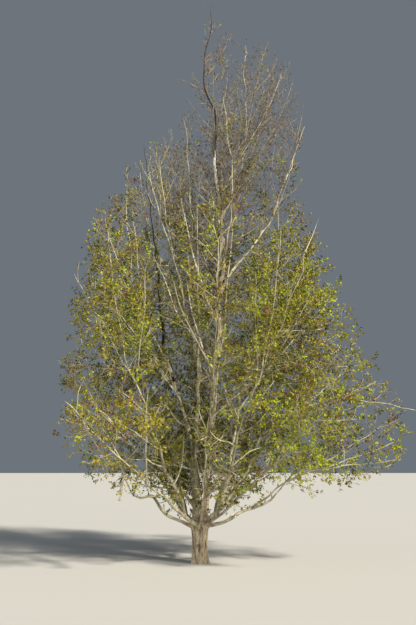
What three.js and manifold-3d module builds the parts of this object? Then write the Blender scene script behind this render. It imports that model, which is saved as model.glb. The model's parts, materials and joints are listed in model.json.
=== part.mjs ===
// A thorn tree that is dying back from the top, in millimetres: X to the right, Y to the back, Z up.
// The origin is the middle of the flat cut through the trunk at ground level.

import * as THREE from "three";
import Module from "manifold-3d";

const wasm = await Module();
wasm.setup();
const { Manifold, Mesh } = wasm;

// Clear distance between pieces that touch, and the smallest detail that a cut may leave on a bough
// and on a mass of twigs.
const GAP = 0.5;
const SLIVER = 0.04;
const TWIG_SLIVER = 1.5;

// The trunk and the leader are pinkish brown, the other boughs are paler, and one of them is dark.
const FINISH = {
  trunkBark: { color: 0x84705f, roughness: 0.95, metalness: 0 },
  boughBark: { color: 0x9c9485, roughness: 0.9, metalness: 0 },
  darkBark: { color: 0x3d352e, roughness: 0.9, metalness: 0 },
  leafyTwigs: { color: 0x7b7c3c, roughness: 0.75, metalness: 0 },
  bareTwigs: { color: 0x81766f, roughness: 0.9, metalness: 0 },
};

// Angles are in degrees. An unrest is how far a growing tip may stray at each step.
const BOUGH = {
  step: 330,
  riseUnrest: 8,
  turnUnrest: 7,
  footDepth: 0.6,
  tip: 0.4,
  collar: 0.25,
  collarReach: 90,
};
const STEM = { unrest: 0.1, tipRadius: 4.5, taper: 0.8, sides: 5 };
const TWIG = {
  every: 250,
  everyBare: 310,
  turn: 137.5,
  turnUnrest: 25,
  lean: [78, 34],
  leanUnrest: 10,
  run: [1.25, 0.45],
  runVariety: [0.75, 1.1],
  upward: 0.1,
  unrest: 0.14,
  stemShare: 0.8,
  footRadius: 9,
  tipRadius: 4,
  sides: 3,
  branches: [0.5, 0.75],
  branchLean: [42, 62],
  branchRoll: 40,
};

// A leaf stands for a spray of small ones. A mass less leafy than BARE has bare shoots as well.
const BARE = 0.4;
const LEAF = { length: [260, 340], widest: 0.45, halfWidth: 0.17, keel: 0.05, room: 20 };
const TIP_LEAF = { halfWidth: 0.2, flatness: 0.16, tipRadius: 2 };
const SHOOT = { run: [0.3, 0.55], footShare: 0.5, tipRadius: 2.5, room: 8 };

// What the growth keeps clear of limbs, and of the space that is nearer to another stem.
const CLEAR_OF_LIMBS = 14;
const CLEAR_OF_MASSES = 50;

// The trunk is widest at its head, where it forks, and has low spurs and shallow flutes.
const TRUNK = {
  height: 760,
  fork: 720,
  waist: 136,
  head: 150,
  widening: [380, 640],
  spurs: { count: 5, depth: 24, reach: 70 },
  flutes: [{ count: 4, depth: 7 }, { count: 7, depth: 5 }],
  sides: 20,
  rings: [0, 40, 100, 200, 330, 460, 570, 650, 710, 745],
};

// Reach of the crown to the left and to the right of the trunk's axis at each height.
const CROWN = [
  [0, 900, 1200],
  [1000, 1700, 2200],
  [1600, 2300, 3300],
  [2200, 2560, 3780],
  [3000, 2480, 3300],
  [4000, 2450, 2800],
  [5000, 2300, 2480],
  [6000, 1980, 2200],
  [7000, 1380, 1800],
  [7800, 620, 1860],
  [8400, 460, 1860],
  [9200, 420, 1800],
  [9700, 380, 1000],
  [10200, 330, 620],
  [10600, 300, 560],
];
const CROWN_DEPTH = 0.52;

// Each bough: what it grows from and how far along, its heading from and to (0 is right, 90 is back),
// its rise at the foot, the middle and the tip, its length and its girth. Then its mass of twigs: the
// reach of the stem, the spread of the twigs, how leafy it is and how hard it turns upwards.
const BOUGHS = {
  leader: ["trunk", 0.93, [0, 0], [84, 89, 95], 6100, 150, [3850, 440, 0, 0.07]],
  low_left: ["trunk", 0.8, [182, 187], [20, 33, 56], 1600, 62, [1400, 760, 0.7, 0.0]],
  low_right: ["trunk", 0.82, [-8, -3], [8, 32, 50], 1650, 60, [1700, 760, 1, 0.0]],
  right_fork: ["trunk", 0.88, [8, 2], [38, 60, 66], 1900, 88, [2500, 860, 0.9, 0.02]],
  pale: ["trunk", 0.92, [178, 186], [88, 80, 62], 2900, 108, [2300, 820, 0.8, 0.03]],
  middle: ["trunk", 0.95, [215, 185], [88, 89, 74], 3900, 100, [2600, 680, 0.5, 0.02]],
  front_right: ["trunk", 0.84, [-50, -46], [22, 34, 32], 1600, 70, [2000, 840, 0.9, 0.01]],
  front_left: ["trunk", 0.84, [-128, -136], [26, 36, 36], 1600, 68, [1800, 820, 0.9, 0.01]],
  back_right: ["trunk", 0.84, [52, 48], [20, 32, 32], 1700, 74, [1900, 840, 0.9, 0.01]],
  back_left: ["trunk", 0.84, [128, 136], [24, 34, 34], 1650, 72, [1800, 840, 0.9, 0.01]],
  front: ["trunk", 0.9, [-82, -90], [52, 44, 48], 1150, 52, [1200, 640, 0.15, 0.01]],
  back: ["trunk", 0.9, [92, 88], [44, 36, 38], 1500, 62, [1700, 780, 0.9, 0.01]],
  left_stem: ["pale", 0.08, [184, 180], [52, 44, 46], 1650, 64, [1900, 800, 0.8, 0.0]],
  right_arch: ["right_fork", 0.7, [-2, -8], [52, 38, -12], 2150, 52, [1100, 700, 0.8, -0.03]],
  right_reach: ["low_right", 0.5, [-28, -8], [38, 28, 4], 1500, 44, [1150, 680, 0.8, -0.02]],
  right_stem: ["right_fork", 0.22, [14, 10], [80, 76, 62], 2700, 74, [2400, 820, 0.9, 0.02]],
  front_stem: ["leader", 0.06, [-84, -76], [64, 70, 76], 2700, 80, [2500, 760, 0.8, 0.02]],
  back_stem: ["middle", 0.08, [84, 100], [64, 70, 76], 2900, 82, [2600, 780, 0.8, 0.02]],
  back_right_stem: ["back_right", 0.22, [58, 50], [70, 60, 56], 2200, 64, [2400, 820, 0.8, 0.02]],
  back_left_stem: ["back_left", 0.22, [128, 134], [70, 60, 58], 2200, 64, [2300, 820, 0.8, 0.02]],
  front_right_stem: ["front_right", 0.22, [-56, -48], [68, 58, 56], 2100, 62, [2300, 820, 0.8, 0.02]],
  front_left_stem: ["front_left", 0.22, [-126, -136], [68, 60, 58], 2100, 62, [2300, 820, 0.8, 0.02]],
  dark: ["pale", 0.84, [182, 176], [72, 86, 84], 3000, 56, [1500, 560, 0.3, 0.02]],
  left_high: ["leader", 0.66, [178, 182], [54, 72, 92], 1900, 54, [1600, 480, 0.15, 0.02]],
  right_high: ["leader", 0.65, [0, 4], [64, 54, 72], 2200, 58, [1550, 540, 0.1, 0.0]],
  front_high: ["leader", 0.7, [-80, -88], [54, 66, 78], 1600, 50, [1700, 540, 0.3, 0.02]],
  back_high: ["leader", 0.62, [94, 88], [54, 64, 74], 1900, 54, [1900, 580, 0.3, 0.02]],
  right_spire: ["leader", 0.88, [6, 0], [56, 80, 88], 1800, 42, [2000, 430, 0, 0.02]],
  far_spire: ["leader", 0.96, [-12, -2], [46, 60, 62], 1400, 36, [1400, 430, 0, 0.02]],
};

class Draws {
  // A repeatable stream of random numbers.
  constructor(seed) {
    this.state = seed >>> 0;
  }
  next() {
    this.state = (this.state + 0x6d2b79f5) >>> 0;
    let t = this.state;
    t = Math.imul(t ^ (t >>> 15), t | 1);
    t ^= t + Math.imul(t ^ (t >>> 7), t | 61);
    return ((t ^ (t >>> 14)) >>> 0) / 4294967296;
  }
  span(low, high) {
    return low + (high - low) * this.next();
  }
  either(size) {
    return size * (2 * this.next() - 1);
  }
}

const radians = THREE.MathUtils.degToRad;
const blend = THREE.MathUtils.lerp;
const along = (a, b, t) => a.clone().lerp(b, t);
const ahead = (point, direction, distance) => point.clone().addScaledVector(direction, distance);
const between = (a, b) => b.clone().sub(a).normalize();

function heading(azimuth, rise) {
  const a = radians(azimuth);
  const r = radians(rise);
  return new THREE.Vector3(Math.cos(r) * Math.cos(a), Math.cos(r) * Math.sin(a), Math.sin(r));
}

// A value that runs from the first to the second at the middle and to the third at the end.
function bend([first, second, third], t) {
  return t < 0.5 ? blend(first, second, 2 * t) : blend(second, third, 2 * t - 1);
}

// Two directions square to the given one, the first of them level.
function across(direction) {
  const side = new THREE.Vector3(direction.y, -direction.x, 0);
  if (side.length() < 0.15) side.set(-direction.z, 0, direction.x);
  side.normalize();
  return [side, side.clone().cross(direction)];
}

// The direction leaned over by so many degrees, to the side that the spin points to.
function leaned(direction, lean, spin) {
  return direction.clone().multiplyScalar(Math.cos(radians(lean)))
    .addScaledVector(rolled(direction, spin), Math.sin(radians(lean))).normalize();
}

// A direction square to the given one, rolled round it by so many degrees.
function rolled(direction, roll) {
  const [side, lift] = across(direction);
  return side.multiplyScalar(Math.cos(radians(roll))).addScaledVector(lift, Math.sin(radians(roll)));
}

// A wandering line that turns a little upwards, or down, at each step.
function wander(start, direction, run, upward, unrest, step, draws) {
  const steps = Math.max(2, Math.round(run / step));
  const points = [start];
  let way = direction;
  for (let i = 0; i < steps; i++) {
    points.push(ahead(points[i], way, run / steps));
    const [x, y, z] = [draws.either(unrest), draws.either(unrest), draws.either(unrest)];
    way = way.clone().add(new THREE.Vector3(x, y, z + upward)).normalize();
  }
  return points;
}

class Limb {
  // A line of points with a radius at each, which tapers from its foot to its tip. A flatness under 1
  // makes it that much thinner one way.
  constructor(points, radii, flatness = radii.map(() => 1)) {
    this.points = points;
    this.radii = radii;
    this.flatness = flatness;
  }
  get tip() {
    return this.points[this.points.length - 1];
  }
  get tipRadius() {
    return this.radii[this.radii.length - 1];
  }
  get direction() {
    return between(this.points[this.points.length - 2], this.tip);
  }
  // The point and the radius a share of the way along.
  at(share) {
    const last = this.points.length - 1;
    const place = share * last;
    const i = Math.min(last - 1, Math.floor(place));
    return {
      point: along(this.points[i], this.points[i + 1], place - i),
      radius: blend(this.radii[i], this.radii[i + 1], place - i),
      direction: between(this.points[i], this.points[i + 1]),
    };
  }
  // Distance from a point to the surface of the limb.
  clearance(point) {
    let nearest = Infinity;
    for (let i = 1; i < this.points.length; i++) {
      const from = this.points[i - 1];
      const span = this.points[i].clone().sub(from);
      const t = THREE.MathUtils.clamp(point.clone().sub(from).dot(span) / span.lengthSq(), 0, 1);
      const radius = blend(this.radii[i - 1], this.radii[i], t);
      nearest = Math.min(nearest, ahead(from, span, t).distanceTo(point) - radius);
    }
    return nearest;
  }
}

function growBough([parent, share, [from, to], rises, run, girth], limbs, draws) {
  const foot = limbs[parent].at(share);
  const outward = parent === "trunk" ? TRUNK.waist - BOUGH.footDepth * girth : 0;
  const points = [ahead(foot.point, heading(from, 0), outward)];
  const steps = Math.max(5, Math.round(run / BOUGH.step));
  for (let i = 0; i < steps; i++) {
    const t = (i + 0.5) / steps;
    const unrest = i === 0 || i === steps - 1 ? 0 : 1;
    const rise = bend(rises, t) + unrest * draws.either(BOUGH.riseUnrest);
    const level = Math.max(0.25, Math.cos(radians(bend(rises, t))));
    const azimuth = blend(from, to, t) + (unrest * draws.either(BOUGH.turnUnrest)) / level;
    points.push(ahead(points[i], heading(azimuth, rise), run / steps));
  }
  const radii = points.map((_, i) => boughRadius(girth, i / steps, (run * i) / steps));
  return new Limb(points, radii);
}

// Half the girth at the foot, with a collar where the bough leaves its parent, and a thinner tip.
function boughRadius(girth, share, distance) {
  const collar = BOUGH.collar * Math.exp(-distance / BOUGH.collarReach);
  return (girth / 2) * (blend(1, BOUGH.tip, share) + collar);
}

function growStem(bough, [reach, , , upward], draws) {
  const start = ahead(bough.tip, bough.direction, GAP);
  const points = wander(start, bough.direction, reach, upward, STEM.unrest, BOUGH.step, draws);
  const last = points.length - 1;
  const radiusAt = (i) => blend(bough.tipRadius, STEM.tipRadius, (i / last) ** STEM.taper);
  return new Limb(points, points.map((_, i) => radiusAt(i)));
}

// Twigs that leave a stem in turn round it, long and wide apart at its foot, short and steep at its tip.
function growTwigs(stem, spread, count, draws) {
  return Array.from({ length: count }, (_, i) => {
    const share = (i + 0.3) / count;
    const foot = stem.at(share);
    const lean = blend(...TWIG.lean, share) + draws.either(TWIG.leanUnrest);
    const spin = TWIG.turn * i + draws.either(TWIG.turnUnrest);
    const run = spread * blend(...TWIG.run, share) * draws.span(...TWIG.runVariety);
    const start = leaned(foot.direction, lean, spin);
    const points = wander(foot.point, start, run, TWIG.upward, TWIG.unrest, run / 2, draws);
    const thick = Math.min(TWIG.stemShare * foot.radius, TWIG.footRadius);
    return new Limb(points, points.map((_, n) => blend(thick, TWIG.tipRadius, n / (points.length - 1))));
  });
}

// How far the crown reaches from the trunk's axis in the direction of a point, at its height.
function crownReach(point) {
  const above = CROWN.findIndex(([height]) => height > point.z);
  if (above < 1) return 0;
  const [low, lowLeft, lowRight] = CROWN[above - 1];
  const [high, highLeft, highRight] = CROWN[above];
  const t = (point.z - low) / (high - low);
  const left = blend(lowLeft, highLeft, t);
  const right = blend(lowRight, highRight, t);
  const deep = CROWN_DEPTH * (left + right);
  const flat = Math.hypot(point.x, point.y);
  const [x, y] = [point.x / flat, point.y / flat];
  return 1 / Math.hypot(x / (x > 0 ? right : left), y / deep);
}

class Space {
  // The part of the crown that one mass of twigs may fill.
  constructor(owner, stems, limbs) {
    this.owner = owner;
    this.stems = stems;
    this.limbs = limbs;
  }
  // Whether a point lies in the crown, nearer to this stem than to any other and clear of the limbs.
  holds(point, size) {
    if (Math.hypot(point.x, point.y) + size > crownReach(point)) return false;
    const own = this.stems[this.owner].clearance(point);
    const others = Object.entries(this.stems).filter(([name]) => name !== this.owner);
    if (others.some(([, stem]) => stem.clearance(point) < own + 2 * size + CLEAR_OF_MASSES)) return false;
    return Object.values(this.limbs).every((limb) => limb.clearance(point) > size + CLEAR_OF_LIMBS);
  }
  // Whether a straight growth from a point stays inside, all but its root.
  holdsAll(root, way, length, size) {
    return [0.35, 0.5, 0.75, 1].every((t) => this.holds(ahead(root, way, t * length), size));
  }
  // The points from the foot of a twig to the last one before it would leave the space.
  trim(twig) {
    const last = twig.points.findIndex((point, i) => {
      if (i === 0) return false;
      const before = twig.points[i - 1];
      return [0.25, 0.5, 0.75, 1].some((t) => !this.holds(along(before, point, t), SHOOT.room));
    });
    const kept = last < 0 ? twig.points.length : last;
    return kept < 2 ? null : new Limb(twig.points.slice(0, kept), twig.radii.slice(0, kept));
  }
}

function solidFrom(positions, faces) {
  const vertProperties = new Float32Array(positions.flatMap((p) => [p.x, p.y, p.z]));
  return new Manifold(new Mesh({ numProp: 3, vertProperties, triVerts: new Uint32Array(faces.flat()) }));
}

// Faces of a closed skin over rings of points that hold the same number of points each.
function skin(rings, sides) {
  const faces = [];
  for (let r = 1; r < rings; r++) {
    for (let s = 0; s < sides; s++) {
      const a = (r - 1) * sides + s;
      const b = (r - 1) * sides + ((s + 1) % sides);
      faces.push([a, b, b + sides], [a, b + sides, a + sides]);
    }
  }
  const top = (rings - 1) * sides;
  for (let s = 1; s < sides - 1; s++) {
    faces.push([0, s + 1, s], [top, top + s, top + s + 1]);
  }
  return faces;
}

// A closed tube round a limb. Its flat ends are square to the limb, and it turns as little as it can.
function tube(limb, sides, extra = 0) {
  const { points, radii, flatness } = limb;
  const last = points.length - 1;
  let side = limb.side ?? across(between(points[0], points[1]))[0];
  const positions = points.flatMap((point, i) => {
    const way = between(points[Math.max(0, i - 1)], points[Math.min(last, i + 1)]);
    side = side.clone().addScaledVector(way, -side.dot(way)).normalize();
    const lift = way.clone().cross(side);
    return Array.from({ length: sides }, (_, s) => {
      const angle = (2 * Math.PI * s) / sides;
      const radius = radii[i] + extra;
      const edge = ahead(point, side, radius * Math.cos(angle));
      return ahead(edge, lift, radius * flatness[i] * Math.sin(angle));
    });
  });
  limb.endSide = side;
  return solidFrom(positions, skin(points.length, sides));
}

// Radius of the trunk at a height and an angle.
function trunkRadius(height, angle) {
  const [from, to] = TRUNK.widening;
  const core = blend(TRUNK.waist, TRUNK.head, THREE.MathUtils.smoothstep(height, from, to));
  const { count, depth, reach } = TRUNK.spurs;
  const spurs = depth * Math.exp(-height / reach) * (1 + Math.cos(count * angle + 1.2));
  const flutes = TRUNK.flutes.map((flute, i) => flute.depth * Math.cos(flute.count * angle + 0.6 + i));
  const dome = Math.sqrt(1 - Math.max(0, (height - to) / (TRUNK.height - to)) ** 2);
  return (core + spurs + flutes.reduce((sum, flute) => sum + flute)) * dome;
}

function trunkSolid(extra = 0) {
  const positions = TRUNK.rings.flatMap((height) =>
    Array.from({ length: TRUNK.sides }, (_, s) => {
      const angle = (2 * Math.PI * s) / TRUNK.sides;
      const radius = trunkRadius(height, angle) + extra;
      const rise = height === 0 ? 0 : height + extra;
      return new THREE.Vector3(radius * Math.cos(angle), radius * Math.sin(angle), rise);
    }));
  return solidFrom(positions, skin(TRUNK.rings.length, TRUNK.sides));
}

// A leaf that is flat above and keeled below: root, tip, two edges and keel.
function leafSolid(root, way, lift, length) {
  const side = way.clone().cross(lift).normalize();
  const face = way.clone().cross(side).normalize();
  const middle = ahead(root, way, LEAF.widest * length);
  const positions = [
    root,
    ahead(root, way, length),
    ahead(middle, side, LEAF.halfWidth * length),
    ahead(middle, side, -LEAF.halfWidth * length),
    ahead(middle, face, -LEAF.keel * length),
  ];
  return solidFrom(positions, [[0, 3, 2], [1, 2, 3], [0, 4, 3], [0, 2, 4], [1, 3, 4], [1, 4, 2]]);
}

function largest(solid) {
  const bodies = solid.decompose();
  return bodies.reduce((best, body) => (body.volume() > best.volume() ? body : best));
}

// How many flat sides the skin of a bough has.
function sidesFor(girth) {
  if (girth > 120) return 8;
  return girth > 66 ? 6 : 5;
}

// The twig with a leaf that widens from its tip.
function withTipLeaf(twig, length) {
  const { tip, direction, points, radii } = twig;
  const middle = ahead(tip, direction, LEAF.widest * length);
  const widths = [TIP_LEAF.halfWidth * length, TIP_LEAF.tipRadius];
  const flatness = [...points.map(() => 1), TIP_LEAF.flatness, 1];
  return new Limb([...points, middle, ahead(tip, direction, length)], [...radii, ...widths], flatness);
}

// A leaf or a bare shoot that leaves a twig to one side, or nothing where it would leave the space.
function sideGrowth(twig, share, leafy, spread, space, draws) {
  const { point, direction, radius } = twig.at(share);
  const roll = 180 * Math.round(draws.next()) + draws.either(TWIG.branchRoll);
  const way = leaned(direction, draws.span(...TWIG.branchLean), roll);
  const face = rolled(way, draws.either(90));
  const leaf = draws.next() < leafy;
  const length = leaf ? draws.span(...LEAF.length) : spread * draws.span(...SHOOT.run);
  if (!leaf && leafy > BARE) return [];
  if (!space.holdsAll(point, way, length, leaf ? LEAF.room : SHOOT.room)) return [];
  if (leaf) return [leafSolid(point, way, face, length)];
  const radii = [radius * SHOOT.footShare, SHOOT.tipRadius];
  return [tube(new Limb([point, ahead(point, way, length)], radii), TWIG.sides)];
}

function massSolid(name, [reach, spread, leafy]) {
  const stem = stems[name];
  stem.side = limbs[name].endSide;
  const space = new Space(name, stems, limbs);
  const draws = new Draws(7001 + 13 * Math.round(reach + spread));
  const count = Math.round(reach / (leafy > BARE ? TWIG.every : TWIG.everyBare));
  const pieces = [tube(stem, STEM.sides)];
  for (const whole of growTwigs(stem, spread, count, streams[name])) {
    let twig = space.trim(whole);
    if (!twig) continue;
    for (const share of TWIG.branches) {
      pieces.push(...sideGrowth(twig, share, leafy, spread, space, draws));
    }
    const length = draws.span(...LEAF.length);
    const side = rolled(twig.direction, draws.either(90));
    if (draws.next() < leafy && space.holdsAll(twig.tip, twig.direction, length, LEAF.room)) {
      twig = withTipLeaf(twig, length);
    }
    twig.side = side;
    pieces.push(tube(twig, TWIG.sides));
  }
  return largest(Manifold.union(pieces).simplify(TWIG_SLIVER));
}

// Every bough grows on its parent, and then the stem of each mass on its bough.
const limbs = {
  trunk: new Limb(
    [0, 0.5, 1].map((t) => new THREE.Vector3(0, 0, t * TRUNK.fork)),
    [TRUNK.waist, TRUNK.waist, TRUNK.head],
  ),
};
const stems = {};
const streams = {};
Object.entries(BOUGHS).forEach(([name, sizes], i) => {
  limbs[name] = growBough(sizes, limbs, new Draws(101 + 17 * i));
  streams[name] = new Draws(9001 + 31 * i);
  stems[name] = growStem(limbs[name], sizes[6], streams[name]);
});

// The mesh of a solid, in a material of its own.
function meshOf(name, solid, finish) {
  const { vertProperties, triVerts, numProp } = solid.getMesh();
  const geometry = new THREE.BufferGeometry();
  const array = new THREE.InterleavedBuffer(vertProperties, numProp);
  geometry.setAttribute("position", new THREE.InterleavedBufferAttribute(array, 3, 0));
  geometry.setIndex(new THREE.BufferAttribute(triVerts, 1));
  const mesh = new THREE.Mesh(geometry, new THREE.MeshStandardMaterial(finish));
  mesh.name = name;
  return mesh;
}

function boughFinish(name) {
  if (name === "leader") return FINISH.trunkBark;
  return name === "dark" ? FINISH.darkBark : FINISH.boughBark;
}

const wood = new THREE.Group();
const crown = new THREE.Group();

// The trunk is whole, and each bough is cut clear of it and of the boughs before it.
wood.add(meshOf("trunk", trunkSolid(), FINISH.trunkBark));
const before = [trunkSolid(GAP)];
for (const [name, sizes] of Object.entries(BOUGHS)) {
  const sides = sidesFor(sizes[5]);
  const whole = tube(limbs[name], sides);
  const solid = largest(Manifold.difference([whole, ...before]).setTolerance(SLIVER));
  wood.add(meshOf(`${name}_bough`, solid, boughFinish(name)));
  before.push(tube(limbs[name], sides, GAP));
}
for (const [name, sizes] of Object.entries(BOUGHS)) {
  const [, , leafy] = sizes[6];
  const finish = leafy > BARE ? FINISH.leafyTwigs : FINISH.bareTwigs;
  crown.add(meshOf(`${name}_mass`, massSolid(name, sizes[6]), finish));
}

const tree = new THREE.Group();
tree.add(wood, crown);

export default tree;
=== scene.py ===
"""A thorn tree that dies back from its top, with bark, twigs, leaves and fruit grown round its solids.

Lengths are in metres and angles in degrees. X runs to the right, Y to the back and Z up, from the
middle of the flat cut through the trunk at ground level.
"""

import json
import logging
import math
from dataclasses import dataclass, field, replace
from enum import Enum
from typing import Self

import bmesh
import bpy
import numpy as np
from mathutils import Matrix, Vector, noise

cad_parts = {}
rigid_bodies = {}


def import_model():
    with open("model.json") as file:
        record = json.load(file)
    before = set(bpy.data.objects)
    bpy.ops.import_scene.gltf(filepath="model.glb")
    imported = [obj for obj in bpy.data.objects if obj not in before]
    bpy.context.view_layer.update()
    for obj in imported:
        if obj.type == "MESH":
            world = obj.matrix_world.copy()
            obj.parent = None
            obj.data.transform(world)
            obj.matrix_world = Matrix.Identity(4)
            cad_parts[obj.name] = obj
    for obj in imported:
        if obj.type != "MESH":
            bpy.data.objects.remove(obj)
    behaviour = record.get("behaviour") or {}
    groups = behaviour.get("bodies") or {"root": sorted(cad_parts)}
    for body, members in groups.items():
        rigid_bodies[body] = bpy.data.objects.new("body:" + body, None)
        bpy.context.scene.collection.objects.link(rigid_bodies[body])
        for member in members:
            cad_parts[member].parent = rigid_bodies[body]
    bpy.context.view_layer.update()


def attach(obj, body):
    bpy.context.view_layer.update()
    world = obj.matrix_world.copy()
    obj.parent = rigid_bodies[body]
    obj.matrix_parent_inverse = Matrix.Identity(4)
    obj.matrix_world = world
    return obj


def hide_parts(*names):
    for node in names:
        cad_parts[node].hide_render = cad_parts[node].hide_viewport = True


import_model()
BODY = "root"

log = logging.getLogger("thorn_tree")

Array = np.ndarray
Colour = tuple[float, float, float]
Place = tuple[float, float, float]
Range = tuple[float, float]
Rises = tuple[float, float, float]
Skins = dict["Skin", bpy.types.Material]

UP = np.array([0.0, 0.0, 1.0])

# The turn from each twig to the next that spreads them evenly round what carries them.
GOLDEN_TURN = 137.5

# How many points are measured at once.
CHUNK = 4000


def blend(first: Array | float, second: Array | float, t: Array | float) -> Array | float:
    """The value a share t of the way from the first to the second."""
    return first + (second - first) * t


def unit(vectors: Array) -> Array:
    """The same directions with a length of one."""
    return vectors / (np.linalg.norm(vectors, axis=-1, keepdims=True) + 1e-12)


def dot(first: Array, second: Array) -> Array:
    """Scalar products over the last axis, which is kept."""
    return np.sum(first * second, axis=-1, keepdims=True)


def heading(azimuth: float, rise: float) -> Array:
    """The direction with an azimuth, 0 to the right and 90 to the back, and a rise over the level."""
    a, r = math.radians(azimuth), math.radians(rise)
    return np.array([math.cos(r) * math.cos(a), math.cos(r) * math.sin(a), math.sin(r)])


def bend(values: Rises, t: float) -> float:
    """A value that runs from the first to the second at the middle and to the third at the end."""
    first, middle, last = values
    return blend(first, middle, 2 * t) if t < 0.5 else blend(middle, last, 2 * t - 1)


def across(ways: Array) -> tuple[Array, Array]:
    """Finds two directions square to each of the given ones.

    Args:
        ways: The given directions.

    Returns:
        A level direction for each, and one square to both.
    """
    upright = 0.15
    level = np.stack([ways[..., 1], -ways[..., 0], np.zeros_like(ways[..., 0])], axis=-1)
    other = np.stack([-ways[..., 2], np.zeros_like(ways[..., 0]), ways[..., 0]], axis=-1)
    short = np.linalg.norm(level, axis=-1, keepdims=True) < upright
    side = unit(np.where(short, other, level))
    return side, np.cross(side, ways)


def leaned(ways: Array, lean: Array | float, spin: Array | float) -> Array:
    """The directions leaned over.

    Args:
        ways: Directions of length one.
        lean: How far each leans over.
        spin: To which side of it each leans.

    Returns:
        The new directions, of length one.
    """
    side, lift = across(ways)
    lean = np.radians(np.asarray(lean, float))[..., None]
    spin = np.radians(np.asarray(spin, float))[..., None]
    rolled = side * np.cos(spin) + lift * np.sin(spin)
    return unit(ways * np.cos(lean) + rolled * np.sin(lean))


def srgb(code: str) -> Colour:
    """The linear colour of a code such as 8a7d6b."""
    parts = [int(code[i:i + 2], 16) / 255 for i in (0, 2, 4)]
    return tuple(p / 12.92 if p <= 0.04045 else ((p + 0.055) / 1.055) ** 2.4 for p in parts)


def ramp(values: Array, start: float, over: float) -> Array:
    """A value that rises from 0 at the start to 1 so much further on."""
    return np.clip((values - start) / over, 0, 1)


def nearest_whole(value: float) -> int:
    """The nearest whole number, with halves upwards."""
    return math.floor(value + 0.5)


def chunks(rows: Array) -> list[Array]:
    """The rows in parts that are small enough to be measured at once."""
    return np.array_split(rows, max(1, len(rows) // CHUNK))


def dealt(counts: Array) -> tuple[Array, Array]:
    """The owner of each of the things that are dealt out in these counts, and its number there."""
    owner = np.repeat(np.arange(len(counts)), counts)
    return owner, np.arange(len(owner)) - np.repeat(np.cumsum(counts) - counts, counts)


class Draws:
    """A repeatable stream of random numbers, the same as the solids were grown from."""

    MASK = 0xFFFFFFFF
    STRIDE = 0x6D2B79F5

    def __init__(self, seed: int) -> None:
        """Starts the stream of a seed."""
        self.state = seed & self.MASK

    @classmethod
    def numbered(cls, seeds: tuple[int, int], number: int) -> Self:
        """The stream with a number, from the first seed and the step from seed to seed."""
        first, step = seeds
        return cls(first + step * number)

    def next(self) -> float:
        """Takes the next number.

        Returns:
            A number from 0 to 1.
        """
        self.state = (self.state + self.STRIDE) & self.MASK
        t = self.state
        t = ((t ^ (t >> 15)) * (t | 1)) & self.MASK
        t ^= (t + (((t ^ (t >> 7)) * (t | 61)) & self.MASK)) & self.MASK
        return ((t ^ (t >> 14)) & self.MASK) / 2**32

    def span(self, low: float, high: float) -> float:
        """The next number, from low to high."""
        return blend(low, high, self.next())

    def either(self, size: float) -> float:
        """The next number, up to a size to either side of 0."""
        return size * (2 * self.next() - 1)


@dataclass(frozen=True)
class MassPlan:
    """The twigs that a bough carries: reach of their stem, their spread, how leafy, how hard upwards."""

    reach: float
    spread: float
    leafy: float
    upward: float


@dataclass(frozen=True)
class BoughPlan:
    """Where a bough leaves its parent, how it runs, and its mass of twigs."""

    parent: str
    share: float
    azimuths: Range
    rises: Rises
    run: float
    girth: float
    mass: MassPlan


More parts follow.
